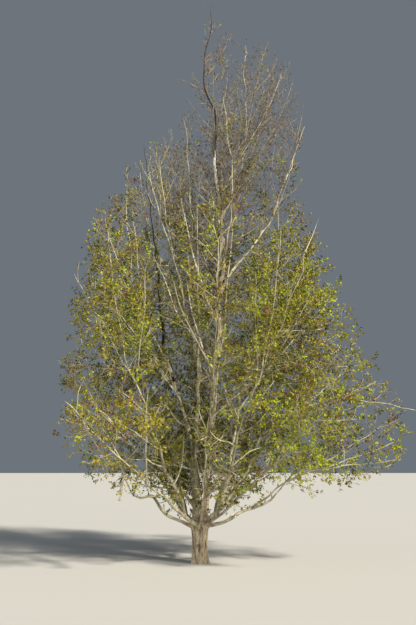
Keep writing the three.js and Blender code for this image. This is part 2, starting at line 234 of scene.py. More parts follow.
BOUGHS = {name: BoughPlan(*plan, MassPlan(*mass)) for name, *plan, mass in (
    ("leader", "trunk", 0.93, (0, 0), (84, 89, 95), 6.1, 0.150, (3.85, 0.44, 0, 0.07)),
    ("low_left", "trunk", 0.8, (182, 187), (20, 33, 56), 1.6, 0.062, (1.4, 0.76, 0.7, 0)),
    ("low_right", "trunk", 0.82, (-8, -3), (8, 32, 50), 1.65, 0.060, (1.7, 0.76, 1, 0)),
    ("right_fork", "trunk", 0.88, (8, 2), (38, 60, 66), 1.9, 0.088, (2.5, 0.86, 0.9, 0.02)),
    ("pale", "trunk", 0.92, (178, 186), (88, 80, 62), 2.9, 0.108, (2.3, 0.82, 0.8, 0.03)),
    ("middle", "trunk", 0.95, (215, 185), (88, 89, 74), 3.9, 0.1, (2.6, 0.68, 0.5, 0.02)),
    ("front_right", "trunk", 0.84, (-50, -46), (22, 34, 32), 1.6, 0.07, (2, 0.84, 0.9, 0.01)),
    ("front_left", "trunk", 0.84, (-128, -136), (26, 36, 36), 1.6, 0.068, (1.8, 0.82, 0.9, 0.01)),
    ("back_right", "trunk", 0.84, (52, 48), (20, 32, 32), 1.7, 0.074, (1.9, 0.84, 0.9, 0.01)),
    ("back_left", "trunk", 0.84, (128, 136), (24, 34, 34), 1.65, 0.072, (1.8, 0.84, 0.9, 0.01)),
    ("front", "trunk", 0.9, (-82, -90), (52, 44, 48), 1.15, 0.052, (1.2, 0.64, 0.15, 0.01)),
    ("back", "trunk", 0.9, (92, 88), (44, 36, 38), 1.5, 0.062, (1.7, 0.78, 0.9, 0.01)),
    ("left_stem", "pale", 0.08, (184, 180), (52, 44, 46), 1.65, 0.064, (1.9, 0.8, 0.8, 0)),
    ("right_arch", "right_fork", 0.7, (-2, -8), (52, 38, -12), 2.15, 0.052, (1.1, 0.7, 0.8, -0.03)),
    ("right_reach", "low_right", 0.5, (-28, -8), (38, 28, 4), 1.5, 0.044, (1.15, 0.68, 0.8, -0.02)),
    ("right_stem", "right_fork", 0.22, (14, 10), (80, 76, 62), 2.7, 0.074, (2.4, 0.82, 0.9, 0.02)),
    ("front_stem", "leader", 0.06, (-84, -76), (64, 70, 76), 2.7, 0.08, (2.5, 0.76, 0.8, 0.02)),
    ("back_stem", "middle", 0.08, (84, 100), (64, 70, 76), 2.9, 0.082, (2.6, 0.78, 0.8, 0.02)),
    ("back_right_stem", "back_right", 0.22, (58, 50), (70, 60, 56), 2.2, 0.064, (2.4, 0.82, 0.8, 0.02)),
    ("back_left_stem", "back_left", 0.22, (128, 134), (70, 60, 58), 2.2, 0.064, (2.3, 0.82, 0.8, 0.02)),
    ("front_right_stem", "front_right", 0.22, (-56, -48), (68, 58, 56), 2.1, 0.062,
     (2.3, 0.82, 0.8, 0.02)),
    ("front_left_stem", "front_left", 0.22, (-126, -136), (68, 60, 58), 2.1, 0.062,
     (2.3, 0.82, 0.8, 0.02)),
    ("dark", "pale", 0.84, (182, 176), (72, 86, 84), 3, 0.056, (1.5, 0.56, 0.3, 0.02)),
    ("left_high", "leader", 0.66, (178, 182), (54, 72, 92), 1.9, 0.054, (1.6, 0.48, 0.15, 0.02)),
    ("right_high", "leader", 0.65, (0, 4), (64, 54, 72), 2.2, 0.058, (1.55, 0.54, 0.1, 0)),
    ("front_high", "leader", 0.7, (-80, -88), (54, 66, 78), 1.6, 0.05, (1.7, 0.54, 0.3, 0.02)),
    ("back_high", "leader", 0.62, (94, 88), (54, 64, 74), 1.9, 0.054, (1.9, 0.58, 0.3, 0.02)),
    ("right_spire", "leader", 0.88, (6, 0), (56, 80, 88), 1.8, 0.042, (2, 0.43, 0, 0.02)),
    ("far_spire", "leader", 0.96, (-12, -2), (46, 60, 62), 1.4, 0.036, (1.4, 0.43, 0, 0.02)),
)}


# The leader above its limb, which leans a little to the left before its last fork.
LEADER_TOP = (
    (0.25, 0.0, 7.2), (0.27, 0.02, 7.75), (0.27, 0.04, 8.25), (0.08, 0.03, 8.6), (0.06, 0.0, 9.08),
    (0.08, 0.02, 9.56), (0.17, 0.0, 9.92), (0.2, 0.0, 10.49),
)


@dataclass
class Limb:
    """A line of points with a radius at each, from its foot to its tip."""

    points: Array
    radii: Array

    def at(self, share: float) -> tuple[Array, float, Array]:
        """Looks up one place on the line.

        Args:
            share: How far along it is, from 0 to 1.

        Returns:
            The point, the radius and the direction there.
        """
        last = len(self.points) - 1
        place = share * last
        i = min(last - 1, int(place))
        point = blend(self.points[i], self.points[i + 1], place - i)
        radius = blend(self.radii[i], self.radii[i + 1], place - i)
        return point, radius, unit(self.points[i + 1] - self.points[i])

    def direction(self) -> Array:
        """The direction of the last stretch."""
        return unit(self.points[-1] - self.points[-2])

    def steps(self) -> Array:
        """Length of each stretch."""
        return np.linalg.norm(np.diff(self.points, axis=0), axis=1)

    def length(self) -> float:
        """Length of the line."""
        return float(self.steps().sum())

    def smoothed(self, count: int) -> Self:
        """The limb as a smooth curve through its points.

        Args:
            count: How many points the new line has.

        Returns:
            The new limb.
        """
        last = len(self.points) - 1
        places = np.linspace(0, last, count)
        i = np.minimum(places.astype(int), last - 1)
        t = (places - i)[:, None]
        ends = [2 * self.points[0] - self.points[1], 2 * self.points[-1] - self.points[-2]]
        p = np.vstack([ends[:1], self.points, ends[1:]])
        before, here, there, after = p[i], p[i + 1], p[i + 2], p[i + 3]
        curve = 0.5 * (2 * here + (there - before) * t
                       + (2 * before - 5 * here + 4 * there - after) * t**2
                       + (3 * here - before - 3 * there + after) * t**3)
        return Limb(curve, np.interp(places, np.arange(last + 1), self.radii))


def wander(start: Array, way: Array, run: float, steps: int, upward: float, unrest: float,
           draws: Draws) -> Array:
    """Points of a line that strays and turns upwards, or down, at each step.

    Args:
        start: Where it starts.
        way: The direction in which it starts.
        run: Its length.
        steps: How many stretches it has.
        upward: How hard it turns upwards.
        unrest: How far it may stray.
        draws: The stream of random numbers.

    Returns:
        The points, one more than there are stretches.
    """
    points = [start]
    for _ in range(steps):
        points.append(points[-1] + way * run / steps)
        stray = np.array([draws.either(unrest) for _ in range(3)])
        way = unit(way + stray + upward * UP)
    return np.array(points)


@dataclass
class Skeleton:
    """The limbs, the stems of the masses and their first twigs, grown by the rule of the solids."""

    trunk_height: float = 0.72
    trunk_waist: float = 0.136
    trunk_head: float = 0.150
    step: float = 0.33
    rise_unrest: float = 8
    turn_unrest: float = 7
    foot_depth: float = 0.6
    tip_share: float = 0.4
    collar: float = 0.25
    collar_reach: float = 0.09
    gap: float = 0.0005
    bough_seeds: tuple[int, int] = (101, 17)
    mass_seeds: tuple[int, int] = (9001, 31)
    least_bough_steps: int = 5
    least_stem_steps: int = 2
    least_level: float = 0.25
    stem_unrest: float = 0.1
    stem_tip: float = 0.0045
    stem_taper: float = 0.8
    bare: float = 0.4
    twig_every: float = 0.25
    twig_every_bare: float = 0.31
    twig_offset: float = 0.3
    twig_steps: int = 2
    turn: float = GOLDEN_TURN
    turn_stray: float = 25
    lean: Range = (78, 34)
    lean_stray: float = 10
    twig_run: Range = (1.25, 0.45)
    variety: Range = (0.75, 1.1)
    twig_upward: float = 0.1
    twig_unrest: float = 0.14
    twig_share: float = 0.8
    twig_foot: float = 0.009
    twig_tip: float = 0.004
    limbs: dict[str, Limb] = field(default_factory=dict)
    stems: dict[str, Limb] = field(default_factory=dict)
    twigs: dict[str, list[Limb]] = field(default_factory=dict)

    def grow(self) -> None:
        """Grows every bough on its parent, and then the stem and the twigs of its mass."""
        heights = np.array([0, 0.5, 1]) * self.trunk_height
        points = np.outer(heights, UP)
        radii = np.array([self.trunk_waist, self.trunk_waist, self.trunk_head])
        self.limbs["trunk"] = Limb(points, radii)
        for i, (name, plan) in enumerate(BOUGHS.items()):
            self.limbs[name] = self.bough(plan, Draws.numbered(self.bough_seeds, i))
            draws = Draws.numbered(self.mass_seeds, i)
            self.stems[name] = self.stem(self.limbs[name], plan.mass, draws)
            self.twigs[name] = self.first_twigs(self.stems[name], plan.mass, draws)
        top = np.vstack([self.stems["leader"].points[:1], LEADER_TOP])
        share = np.linspace(0, 1, len(top)) ** self.stem_taper
        self.stems["leader"] = Limb(top, blend(self.limbs["leader"].radii[-1], self.stem_tip, share))

    def bough(self, plan: BoughPlan, draws: Draws) -> Limb:
        """Grows one bough on its parent.

        Args:
            plan: Where it grows and how it runs.
            draws: Its stream of random numbers.

        Returns:
            The bough.
        """
        foot = self.limbs[plan.parent].at(plan.share)[0]
        outward = self.trunk_waist - self.foot_depth * plan.girth if plan.parent == "trunk" else 0
        points = [foot + outward * heading(plan.azimuths[0], 0)]
        steps = max(self.least_bough_steps, nearest_whole(plan.run / self.step))
        for i in range(steps):
            t = (i + 0.5) / steps
            unrest = 0 if i in (0, steps - 1) else 1
            rise = bend(plan.rises, t) + unrest * draws.either(self.rise_unrest)
            level = max(self.least_level, math.cos(math.radians(bend(plan.rises, t))))
            azimuth = blend(*plan.azimuths, t) + unrest * draws.either(self.turn_unrest) / level
            points.append(points[-1] + heading(azimuth, rise) * plan.run / steps)
        share = np.linspace(0, 1, steps + 1)
        collar = self.collar * np.exp(-plan.run * share / self.collar_reach)
        return Limb(np.array(points), plan.girth / 2 * (blend(1, self.tip_share, share) + collar))

    def stem(self, bough: Limb, mass: MassPlan, draws: Draws) -> Limb:
        """Grows the stem of a mass, which goes on from its bough.

        Args:
            bough: The bough.
            mass: The plan of the mass.
            draws: The stream of the mass.

        Returns:
            The stem.
        """
        way = bough.direction()
        start = bough.points[-1] + way * self.gap
        steps = max(self.least_stem_steps, nearest_whole(mass.reach / self.step))
        points = wander(start, way, mass.reach, steps, mass.upward, self.stem_unrest, draws)
        share = np.linspace(0, 1, steps + 1) ** self.stem_taper
        return Limb(points, blend(bough.radii[-1], self.stem_tip, share))

    def first_twigs(self, stem: Limb, mass: MassPlan, draws: Draws) -> list[Limb]:
        """Grows twigs in turn round a stem, long and level at its foot, short and steep above.

        Args:
            stem: The stem.
            mass: The plan of the mass.
            draws: The stream of the mass.

        Returns:
            The twigs, from the stem's foot upwards.
        """
        every = self.twig_every if mass.leafy > self.bare else self.twig_every_bare
        count = nearest_whole(mass.reach / every)
        made = []
        for i in range(count):
            share = (i + self.twig_offset) / count
            point, radius, way = stem.at(share)
            lean = blend(*self.lean, share) + draws.either(self.lean_stray)
            spin = self.turn * i + draws.either(self.turn_stray)
            run = mass.spread * blend(*self.twig_run, share) * draws.span(*self.variety)
            way = leaned(way, lean, spin)
            points = wander(point, way, run, self.twig_steps, self.twig_upward, self.twig_unrest, draws)
            foot = min(self.twig_share * radius, self.twig_foot)
            made.append(Limb(points, np.linspace(foot, self.twig_tip, self.twig_steps + 1)))
        return made


@dataclass
class Spines:
    """The stretches of many limbs as arrays, to measure distances from."""

    starts: Array
    spans: Array
    radii: Array
    runs: Array
    firsts: Array

    @classmethod
    def of(cls, limbs: list[Limb]) -> Self:
        """Gathers the stretches of limbs.

        Args:
            limbs: The limbs.

        Returns:
            Their stretches, in the same order.
        """
        starts = np.vstack([limb.points[:-1] for limb in limbs])
        spans = np.vstack([np.diff(limb.points, axis=0) for limb in limbs])
        radii = np.vstack([np.stack([limb.radii[:-1], limb.radii[1:]], 1) for limb in limbs])
        lengths = [limb.steps() for limb in limbs]
        runs = np.vstack([np.stack([np.cumsum(each) - each, each], 1) for each in lengths])
        counts = [len(each) for each in lengths]
        return cls(starts, spans, radii, runs, np.cumsum([0, *counts[:-1]]))

    def measure(self, points: Array) -> tuple[Array, Array]:
        """Measures points against every stretch.

        Args:
            points: The points.

        Returns:
            Clearance of each point from each stretch, and how far along the stretch it lies.
        """
        offset = points[:, None] - self.starts
        along = np.sum(offset * self.spans, -1) / np.sum(self.spans**2, -1)
        along = np.clip(along, 0, 1)
        distance = np.linalg.norm(offset - along[..., None] * self.spans, axis=-1)
        return distance - blend(self.radii[:, 0], self.radii[:, 1], along), along

    def clearance(self, points: Array) -> Array:
        """Distance of each point from the skin of each limb."""
        gaps = [self.measure(part)[0] for part in chunks(points)]
        return np.vstack([np.minimum.reduceat(gap, self.firsts, axis=1) for gap in gaps])

    def nearest(self, points: Array) -> tuple[Array, Array, Array]:
        """Finds the limb whose skin is nearest to each point.

        Args:
            points: The points.

        Returns:
            The number of that limb, the run along it, and the offset from its line.
        """
        limb, run, offset = [], [], []
        for part in chunks(points):
            gap, along = self.measure(part)
            best = np.argmin(gap, axis=1)
            t = along[np.arange(len(part)), best]
            limb.append(np.searchsorted(self.firsts, best, side="right") - 1)
            run.append(self.runs[best, 0] + t * self.runs[best, 1])
            offset.append(part - self.starts[best] - t[:, None] * self.spans[best])
        return np.concatenate(limb), np.concatenate(run), np.vstack(offset)


@dataclass(frozen=True)
class Spot:
    """A round place on the front of the crown, and how strongly it changes what grows there."""

    across_at: float
    height: float
    size: float
    strength: float

    FRONT = -0.6
    DEPTH = 1.6

    def at(self, points: Array) -> Array:
        """How strongly the spot tells.

        Args:
            points: The points.

        Returns:
            Its strength in the middle, and less and less around it.
        """
        x, y, z = points.T
        apart = ((x - self.across_at) / self.size) ** 2 + ((z - self.height) / self.size) ** 2
        return self.strength * np.exp(-(apart + ((y - self.FRONT) / self.DEPTH) ** 2))


def patches(points: Array, length: float, seed: float) -> Array:
    """A smooth random value at each point, about -1 to 1, in patches of a length."""
    shift = Vector((seed, -seed, seed))
    return np.array([noise.noise(Vector(point) + shift) for point in points / length])


def ragged(points: Array, finer: float, size: float) -> Array:
    """A random value at each point, up to a size to either side of 0, to make an edge ragged."""
    return size * np.array([noise.noise(Vector(point) * finer) for point in points])


@dataclass(frozen=True)
class Nudge:
    """A push that moves everything near a place, to give a limb a kink."""

    place: Place
    push: Place
    size: float

    def move(self, points: Array) -> Array:
        """How far it moves each point."""
        near = np.exp(-np.sum((points - self.place) ** 2, axis=1) / self.size**2)
        return near[:, None] * np.array(self.push)


@dataclass(frozen=True)
class Unrest:
    """A smooth unrest that bends and kinks all limbs and twigs, and leaves the fork in place."""

    middle: float = 0.62
    still: float = 0.3
    whole: float = 0.85
    broad: Range = (0.45, 0.048)
    fine: Range = (0.16, 0.016)
    seeds: tuple[float, float, float] = (87.2, 40.7, 64.3)
    nudges: tuple[Nudge, ...] = (
        Nudge((-0.8, -0.05, 0.84), (0, 0, 0.19), 0.2),
        Nudge((-0.9, -0.05, 1), (0, 0, 0.06), 0.12),
        Nudge((-1.15, -0.06, 1.16), (0, 0, -0.05), 0.12),
        Nudge((-1.42, -0.1, 1.52), (0.03, 0, 0.2), 0.22),
        Nudge((-0.95, 0.05, 6.6), (-0.05, 0, 0), 0.7),
    )

    def move(self, points: Array) -> Array:
        """Bends what lies in space.

        Args:
            points: Points, in any number of rows.

        Returns:
            The points, moved.
        """
        flat = points.reshape(-1, 3)
        far = np.linalg.norm(flat - self.middle * UP, axis=1)
        fade = ramp(far, self.still, self.whole - self.still)
        shift = np.zeros_like(flat)
        for length, size in (self.broad, self.fine):
            shift += size * np.stack([patches(flat, length, seed) for seed in self.seeds], axis=1)
        for nudge in self.nudges:
            shift += nudge.move(flat)
        return (flat + shift * fade[:, None]).reshape(points.shape)


class Room:
    """The room that the crown leaves for twigs and leaves."""

    # Height, and the crown's reach to the left and to the right of the trunk's axis.
    OUTLINE = (
        (0, 0.9, 1.2), (1, 1.7, 2.2), (1.6, 2.3, 3.3), (2.2, 2.56, 3.78), (3, 2.48, 3.3),
        (4, 2.45, 2.8), (5, 2.3, 2.48), (6, 1.98, 2.2), (7, 1.38, 1.9), (7.8, 0.5, 1.98),
        (8.4, 0.3, 1.98), (9.2, 0.26, 1.9), (9.7, 0.22, 1.1), (10.2, 0.2, 0.62), (10.6, 0.2, 0.5),
    )
    DEPTH = 0.52
    FRONT = -2.62
    BACK = 2.84
    LOWEST = 1.05
    CLEAR_OF_LIMBS = 0.014
    CLEAR_OF_MASSES = 0.05
    TINY = 1e-9
    LEAST_REACH = 1e-6

    def __init__(self, skeleton: Skeleton) -> None:
        """Reads what growth has to keep clear of.

        Args:
            skeleton: The limbs and stems.
        """
        self.names = list(skeleton.stems)
        self.stems = Spines.of(list(skeleton.stems.values()))
        self.limbs = Spines.of(list(skeleton.limbs.values()))

    def reach(self, points: Array) -> Array:
        """How far the crown reaches from the trunk's axis.

        Args:
            points: Points that give a height and a direction.

        Returns:
            The reach there.
        """
        heights, lefts, rights = np.array(self.OUTLINE).T
        left = np.interp(points[:, 2], heights, lefts, left=0, right=0)
        right = np.interp(points[:, 2], heights, rights, left=0, right=0)
        deep = self.DEPTH * (left + right)
        flat = np.hypot(points[:, 0], points[:, 1]) + self.TINY
        x, y = points[:, 0] / flat, points[:, 1] / flat
        wide = np.where(x > 0, right, left)
        safe_wide, safe_deep = (np.maximum(self.LEAST_REACH, size) for size in (wide, deep))
        return np.where(wide > 0, 1 / np.hypot(x / safe_wide, y / safe_deep), 0)

    def inside(self, points: Array, size: float) -> Array:
        """A mask of the points that lie in the crown, and this far from its edge."""
        within = (points[:, 1] - size > self.FRONT) & (points[:, 1] + size < self.BACK)
        return within & (np.hypot(points[:, 0], points[:, 1]) + size <= self.reach(points))

    def holds(self, points: Array, owner: int, size: float) -> Array:
        """Whether points lie in the crown, nearest to their own stem and clear of limbs.

        Args:
            points: The points.
            owner: Number of their mass.
            size: Radius of what stands there.

        Returns:
            A mask.
        """
        stems = self.stems.clearance(points)
        own = stems[:, owner].copy()
        stems[:, owner] = np.inf
        apart = stems.min(axis=1) >= own + 2 * size + self.CLEAR_OF_MASSES
        clear = self.limbs.clearance(points).min(axis=1) > size + self.CLEAR_OF_LIMBS
        return self.inside(points, size) & apart & clear

    def trimmed(self, twig: Limb, owner: int, size: float) -> Limb | None:
        """Cuts a twig before it would leave the room of its mass.

        Args:
            twig: The twig.
            owner: Number of its mass.
            size: Its radius.

        Returns:
            What is left of it, if anything.
        """
        kept = len(twig.points)
        for i in range(1, kept):
            shares = np.array([0.25, 0.5, 0.75, 1])[:, None]
            between = blend(twig.points[i - 1], twig.points[i], shares)
            if not self.holds(between, owner, size).all():
                kept = i
                break
        return Limb(twig.points[:kept], twig.radii[:kept]) if kept > 1 else None


@dataclass
class Sprigs:
    """Twigs with the same number of points, as arrays, with their mass and their leaves' tint."""

    points: Array
    radii: Array
    mass: Array
    tint: Array

    @classmethod
    def of(cls, limbs: list[Limb], mass: list[int], places: int) -> Self:
        """Draws limbs as sprigs.

        Args:
            limbs: The limbs.
            mass: Number of the mass of each.
            places: How many points each gets.

        Returns:
            The sprigs, with no tint yet.
        """
        smooth = [limb.smoothed(places) for limb in limbs]
        points = np.array([limb.points for limb in smooth])
        radii = np.array([limb.radii for limb in smooth])
        return cls(points, radii, np.array(mass), np.full(len(limbs), -1))

    def parts(self) -> tuple[Array, Array, Array, Array]:
        """All its arrays."""
        return self.points, self.radii, self.mass, self.tint

    def pick(self, chosen: Array) -> Self:
        """The chosen sprigs, by their numbers or a mask."""
        return Sprigs(*(part[chosen] for part in self.parts()))

    def of_masses(self, numbers: list[int]) -> Self:
        """The sprigs that belong to some of the masses."""
        return self.pick(np.isin(self.mass, numbers))

    def joined(self, *others: Self) -> Self:
        """These sprigs and then the others as one."""
        parts = zip(*(sprigs.parts() for sprigs in (self, *others)))
        return Sprigs(*(np.concatenate(part) for part in parts))

    def moved(self, unrest: Unrest) -> Self:
        """The sprigs bent by the unrest of the crown."""
        return replace(self, points=unrest.move(self.points))

    def lengths(self) -> Array:
        """Length of each sprig."""
        return np.linalg.norm(np.diff(self.points, axis=1), axis=2).sum(axis=1)

    def at(self, which: Array, share: Array) -> tuple[Array, Array, Array]:
        """Looks up places on sprigs.

        Args:
            which: Number of the sprig of each place.
            share: How far along it the place is.

        Returns:
            The points, radii and directions there.
        """
        last = self.points.shape[1] - 1
        place = share * last
        i = np.minimum(place.astype(int), last - 1)
        t = (place - i)[:, None]
        here, there = self.points[which, i], self.points[which, i + 1]
        radius = blend(self.radii[which, i], self.radii[which, i + 1], t[:, 0])
        return blend(here, there, t), radius, unit(there - here)

    def cut_to(self, room: Room, size: float) -> Self:
        """Shortens the sprigs where they would leave the crown.

        Args:
            room: The room of the crown.
            size: How far from its edge they stay.

        Returns:
            The sprigs that there is room for.
        """
        count, places, _ = self.points.shape
        inside = room.inside(self.points.reshape(-1, 3), size).reshape(count, places)
        inside &= (self.points[:, :, 2] > room.LOWEST) | (self.points[:, :1, 2] < room.LOWEST)
        kept = np.where(inside.all(axis=1), places, np.argmin(inside, axis=1)) - 1
        share = kept / (places - 1)
        which = np.repeat(np.arange(count), places)
        along = np.outer(share, np.linspace(0, 1, places)).ravel()
        points = self.at(which, along)[0].reshape(count, places, 3)
        return replace(self, points=points).pick(kept > 0)


@dataclass(frozen=True)
class TwigOrder:
    """How one order of twigs stands on the order before it.

    Lean and run have a value at the foot and one at the tip of the parent. The run is a share of the
    parent's length, within limits.
    """

    every: float
    shares: Range
    lean: Range
    run: Range
    limits: Range
    upward: float
    unrest: float
    parent_share: float
    foot: float
    tip: float
    places: int
    climb: float = 0
    climb_from: float = 5.2
    climb_over: float = 2
    high_lean: float = 1

    WITHIN = (0.15, 0.85)
    LEAN_STRAY = 12
    SPIN_STRAY = 30
    VARIETY = (0.7, 1.2)
    HELD = (1.2, 0.5)

    def grow(self, parents: Sprigs, rng: np.random.Generator, most: Array | None = None) -> Sprigs:
        """The twigs of this order on their parents.

        Args:
            parents: The twigs that carry them.
            rng: The stream of random numbers.
            most: The longest run at the foot of each parent, where it is held to one.

        Returns:
            The twigs.
        """
        lengths = parents.lengths()
        first, last = self.shares
        counts = np.maximum(1, np.floor(lengths * (last - first) / self.every + 0.5)).astype(int)
        parent, number = dealt(counts)
        within = (number + rng.uniform(*self.WITHIN, len(parent))) / counts[parent]
        point, radius, way = parents.at(parent, blend(first, last, within))
        lean = blend(*self.lean, within) + rng.uniform(-self.LEAN_STRAY, self.LEAN_STRAY, len(parent))
        start = rng.uniform(0, 360, len(counts))[parent]
        stray = rng.uniform(-self.SPIN_STRAY, self.SPIN_STRAY, len(parent))
        spin = start + GOLDEN_TURN * number + stray
        lean = lean * blend(1, self.high_lean, self.high(point))
        run = lengths[parent] * blend(*self.run, within) * rng.uniform(*self.VARIETY, len(parent))
        run = np.clip(run, *self.limits)
        if most is not None:
            run = np.minimum(run, most[parent] * blend(*self.HELD, within))
        points = self.wander(point, leaned(way, lean, spin), run, rng)
        foot = np.minimum(self.parent_share * radius, self.foot)
        radii = blend(foot[:, None], self.tip, np.linspace(0, 1, self.places))
        return Sprigs(points, radii, parents.mass[parent], parents.tint[parent])

    def high(self, points: Array) -> Array:
        """How far each point has risen, from 0 to 1, to where the twigs climb."""
        return ramp(points[:, 2], self.climb_from, self.climb_over)

    def wander(self, point: Array, way: Array, run: Array, rng: np.random.Generator) -> Array:
        """Draws lines that stray and turn upwards at each step.

        Args:
            point: Where each starts.
            way: The direction in which it starts.
            run: Its length.
            rng: The stream of random numbers.

        Returns:
            The points, as lines by places by 3.
        """
        steps = self.places - 1
        upward = (self.upward + self.climb * self.high(point))[:, None] * UP
        points = [point]
        for _ in range(steps):
            points.append(points[-1] + way * (run / steps)[:, None])
            stray = rng.uniform(-self.unrest, self.unrest, way.shape)
            way = unit(way + stray + upward)
        return np.stack(points, axis=1)


def sweep(points: Array, radii: Array, sides: int, pointed: bool) -> tuple[Array, Array]:
    """Skins round lines that have the same number of points.

    Args:
        points: Lines of points, as lines by places by 3.
        radii: Radius at each point.
        sides: How many flat sides a skin has.
        pointed: Whether each ends in a point, and not in a flat ring.

    Returns:
        The vertices and the triangles.
    """
    lines, places, _ = points.shape
    ways = unit(np.gradient(points, axis=1))
    side = across(ways[:, 0])[0]
    carried = [side]
    for i in range(1, places):
        side = unit(side - dot(side, ways[:, i]) * ways[:, i])
        carried.append(side)
    side = np.stack(carried, axis=1)[:, :, None]
    lift = np.cross(ways, side[:, :, 0])[:, :, None]
    angle = (2 * np.pi * np.arange(sides) / sides)[:, None]
    round_it = np.cos(angle) * side + np.sin(angle) * lift
    rings = points[:, :, None] + radii[:, :, None, None] * round_it
    whole = places - 1 if pointed else places
    each = whole * sides + (1 if pointed else 0)
    vertices = rings[:, :whole].reshape(lines, -1, 3)
    ring = np.arange(sides)
    turn = np.roll(ring, -1)
    faces = []
    for r in range(whole - 1):
        a, b = r * sides + ring, r * sides + turn
        faces += [np.stack([a, b, b + sides], 1), np.stack([a, b + sides, a + sides], 1)]
    top = (whole - 1) * sides
    if pointed:
        vertices = np.concatenate([vertices, points[:, -1:]], axis=1)
        faces.append(np.stack([top + ring, top + turn, np.full(sides, each - 1)], 1))
    else:
        faces.append(np.stack([np.full(sides - 2, top), top + ring[1:-1], top + ring[2:]], 1))
        faces.append(np.stack([np.zeros(sides - 2, int), ring[2:], ring[1:-1]], 1))
    one = np.vstack(faces)
    moved = one[None] + (np.arange(lines) * each)[:, None, None]
    return vertices.reshape(-1, 3), moved.reshape(-1, 3)


@dataclass
class Heap:
    """Triangles that are gathered for one piece."""

    vertices: list[Array] = field(default_factory=list)
    faces: list[Array] = field(default_factory=list)
    finishes: list[Array] = field(default_factory=list)
    relief: list[Array] = field(default_factory=list)
    count: int = 0

    def add(self, vertices: Array, faces: Array, finish: Array | int = 0,
            relief: Array | None = None) -> None:
        """Adds triangles.

        Args:
            vertices: Their corners.
            faces: The three corners of each.
            finish: Number of the material, one for all or one for each face.
            relief: Depth of the bark's fissures at each corner, from 0 to 1.
        """
        self.vertices.append(vertices)
        self.faces.append(faces + self.count)
        self.finishes.append(np.broadcast_to(finish, len(faces)))
        self.relief.append(np.zeros(len(vertices)) if relief is None else relief)
        self.count += len(vertices)

    def build(self, name: str, materials: list[bpy.types.Material], smooth: bool) -> bpy.types.Object:
        """Makes the piece of everything that was added.

        Args:
            name: Its name.
            materials: Its materials, in the order of their numbers.
            smooth: Whether it is shaded smooth.

        Returns:
            The piece.
        """
        vertices, faces = np.vstack(self.vertices), np.vstack(self.faces)
        mesh = bpy.data.meshes.new(name)
        mesh.vertices.add(len(vertices))
        mesh.vertices.foreach_set("co", vertices.astype(np.float32).ravel())
        mesh.loops.add(3 * len(faces))
        mesh.loops.foreach_set("vertex_index", faces.astype(np.int32).ravel())
        mesh.polygons.add(len(faces))
        mesh.polygons.foreach_set("loop_start", np.arange(0, 3 * len(faces), 3, dtype=np.int32))
        mesh.polygons.foreach_set("material_index", np.concatenate(self.finishes).astype(np.int32))
        mesh.polygons.foreach_set("use_smooth", np.full(len(faces), smooth))
        mesh.update(calc_edges=True)
        relief = np.concatenate(self.relief).astype(np.float32)
        if relief.any():
            mesh.attributes.new(BarkFinish.ATTRIBUTE, "FLOAT", "POINT").data.foreach_set("value", relief)
        for material in materials:
            mesh.materials.append(material)
        piece = bpy.data.objects.new(name, mesh)
        bpy.context.scene.collection.objects.link(piece)
        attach(piece, BODY)
        log.info("%s: %d triangles", name, len(faces))
        return piece


class Wire:
    """What one node hands on to others. Sums with it add Math nodes."""

    def __init__(self, board: "Board", socket: bpy.types.NodeSocket) -> None:
        """Holds an output socket of a board."""
        self.board = board
        self.socket = socket

    def maths(self, operation: str, first: "Wire | float", second: "Wire | float") -> "Wire":
        """A Math node on two values."""
        return self.board.node("ShaderNodeMath", {"operation": operation}, {0: first, 1: second})

    def __add__(self, other: "Wire | float") -> "Wire":
        """This and the other."""
        return self.maths("ADD", self, other)

    __radd__ = __add__

    def __mul__(self, other: "Wire | float") -> "Wire":
        """This times the other."""
        return self.maths("MULTIPLY", self, other)

    __rmul__ = __mul__

    def __sub__(self, other: "Wire | float") -> "Wire":
        """This less the other."""
        return self.maths("SUBTRACT", self, other)

    def __rsub__(self, other: float) -> "Wire":
        """The other less this."""
        return self.maths("SUBTRACT", other, self)


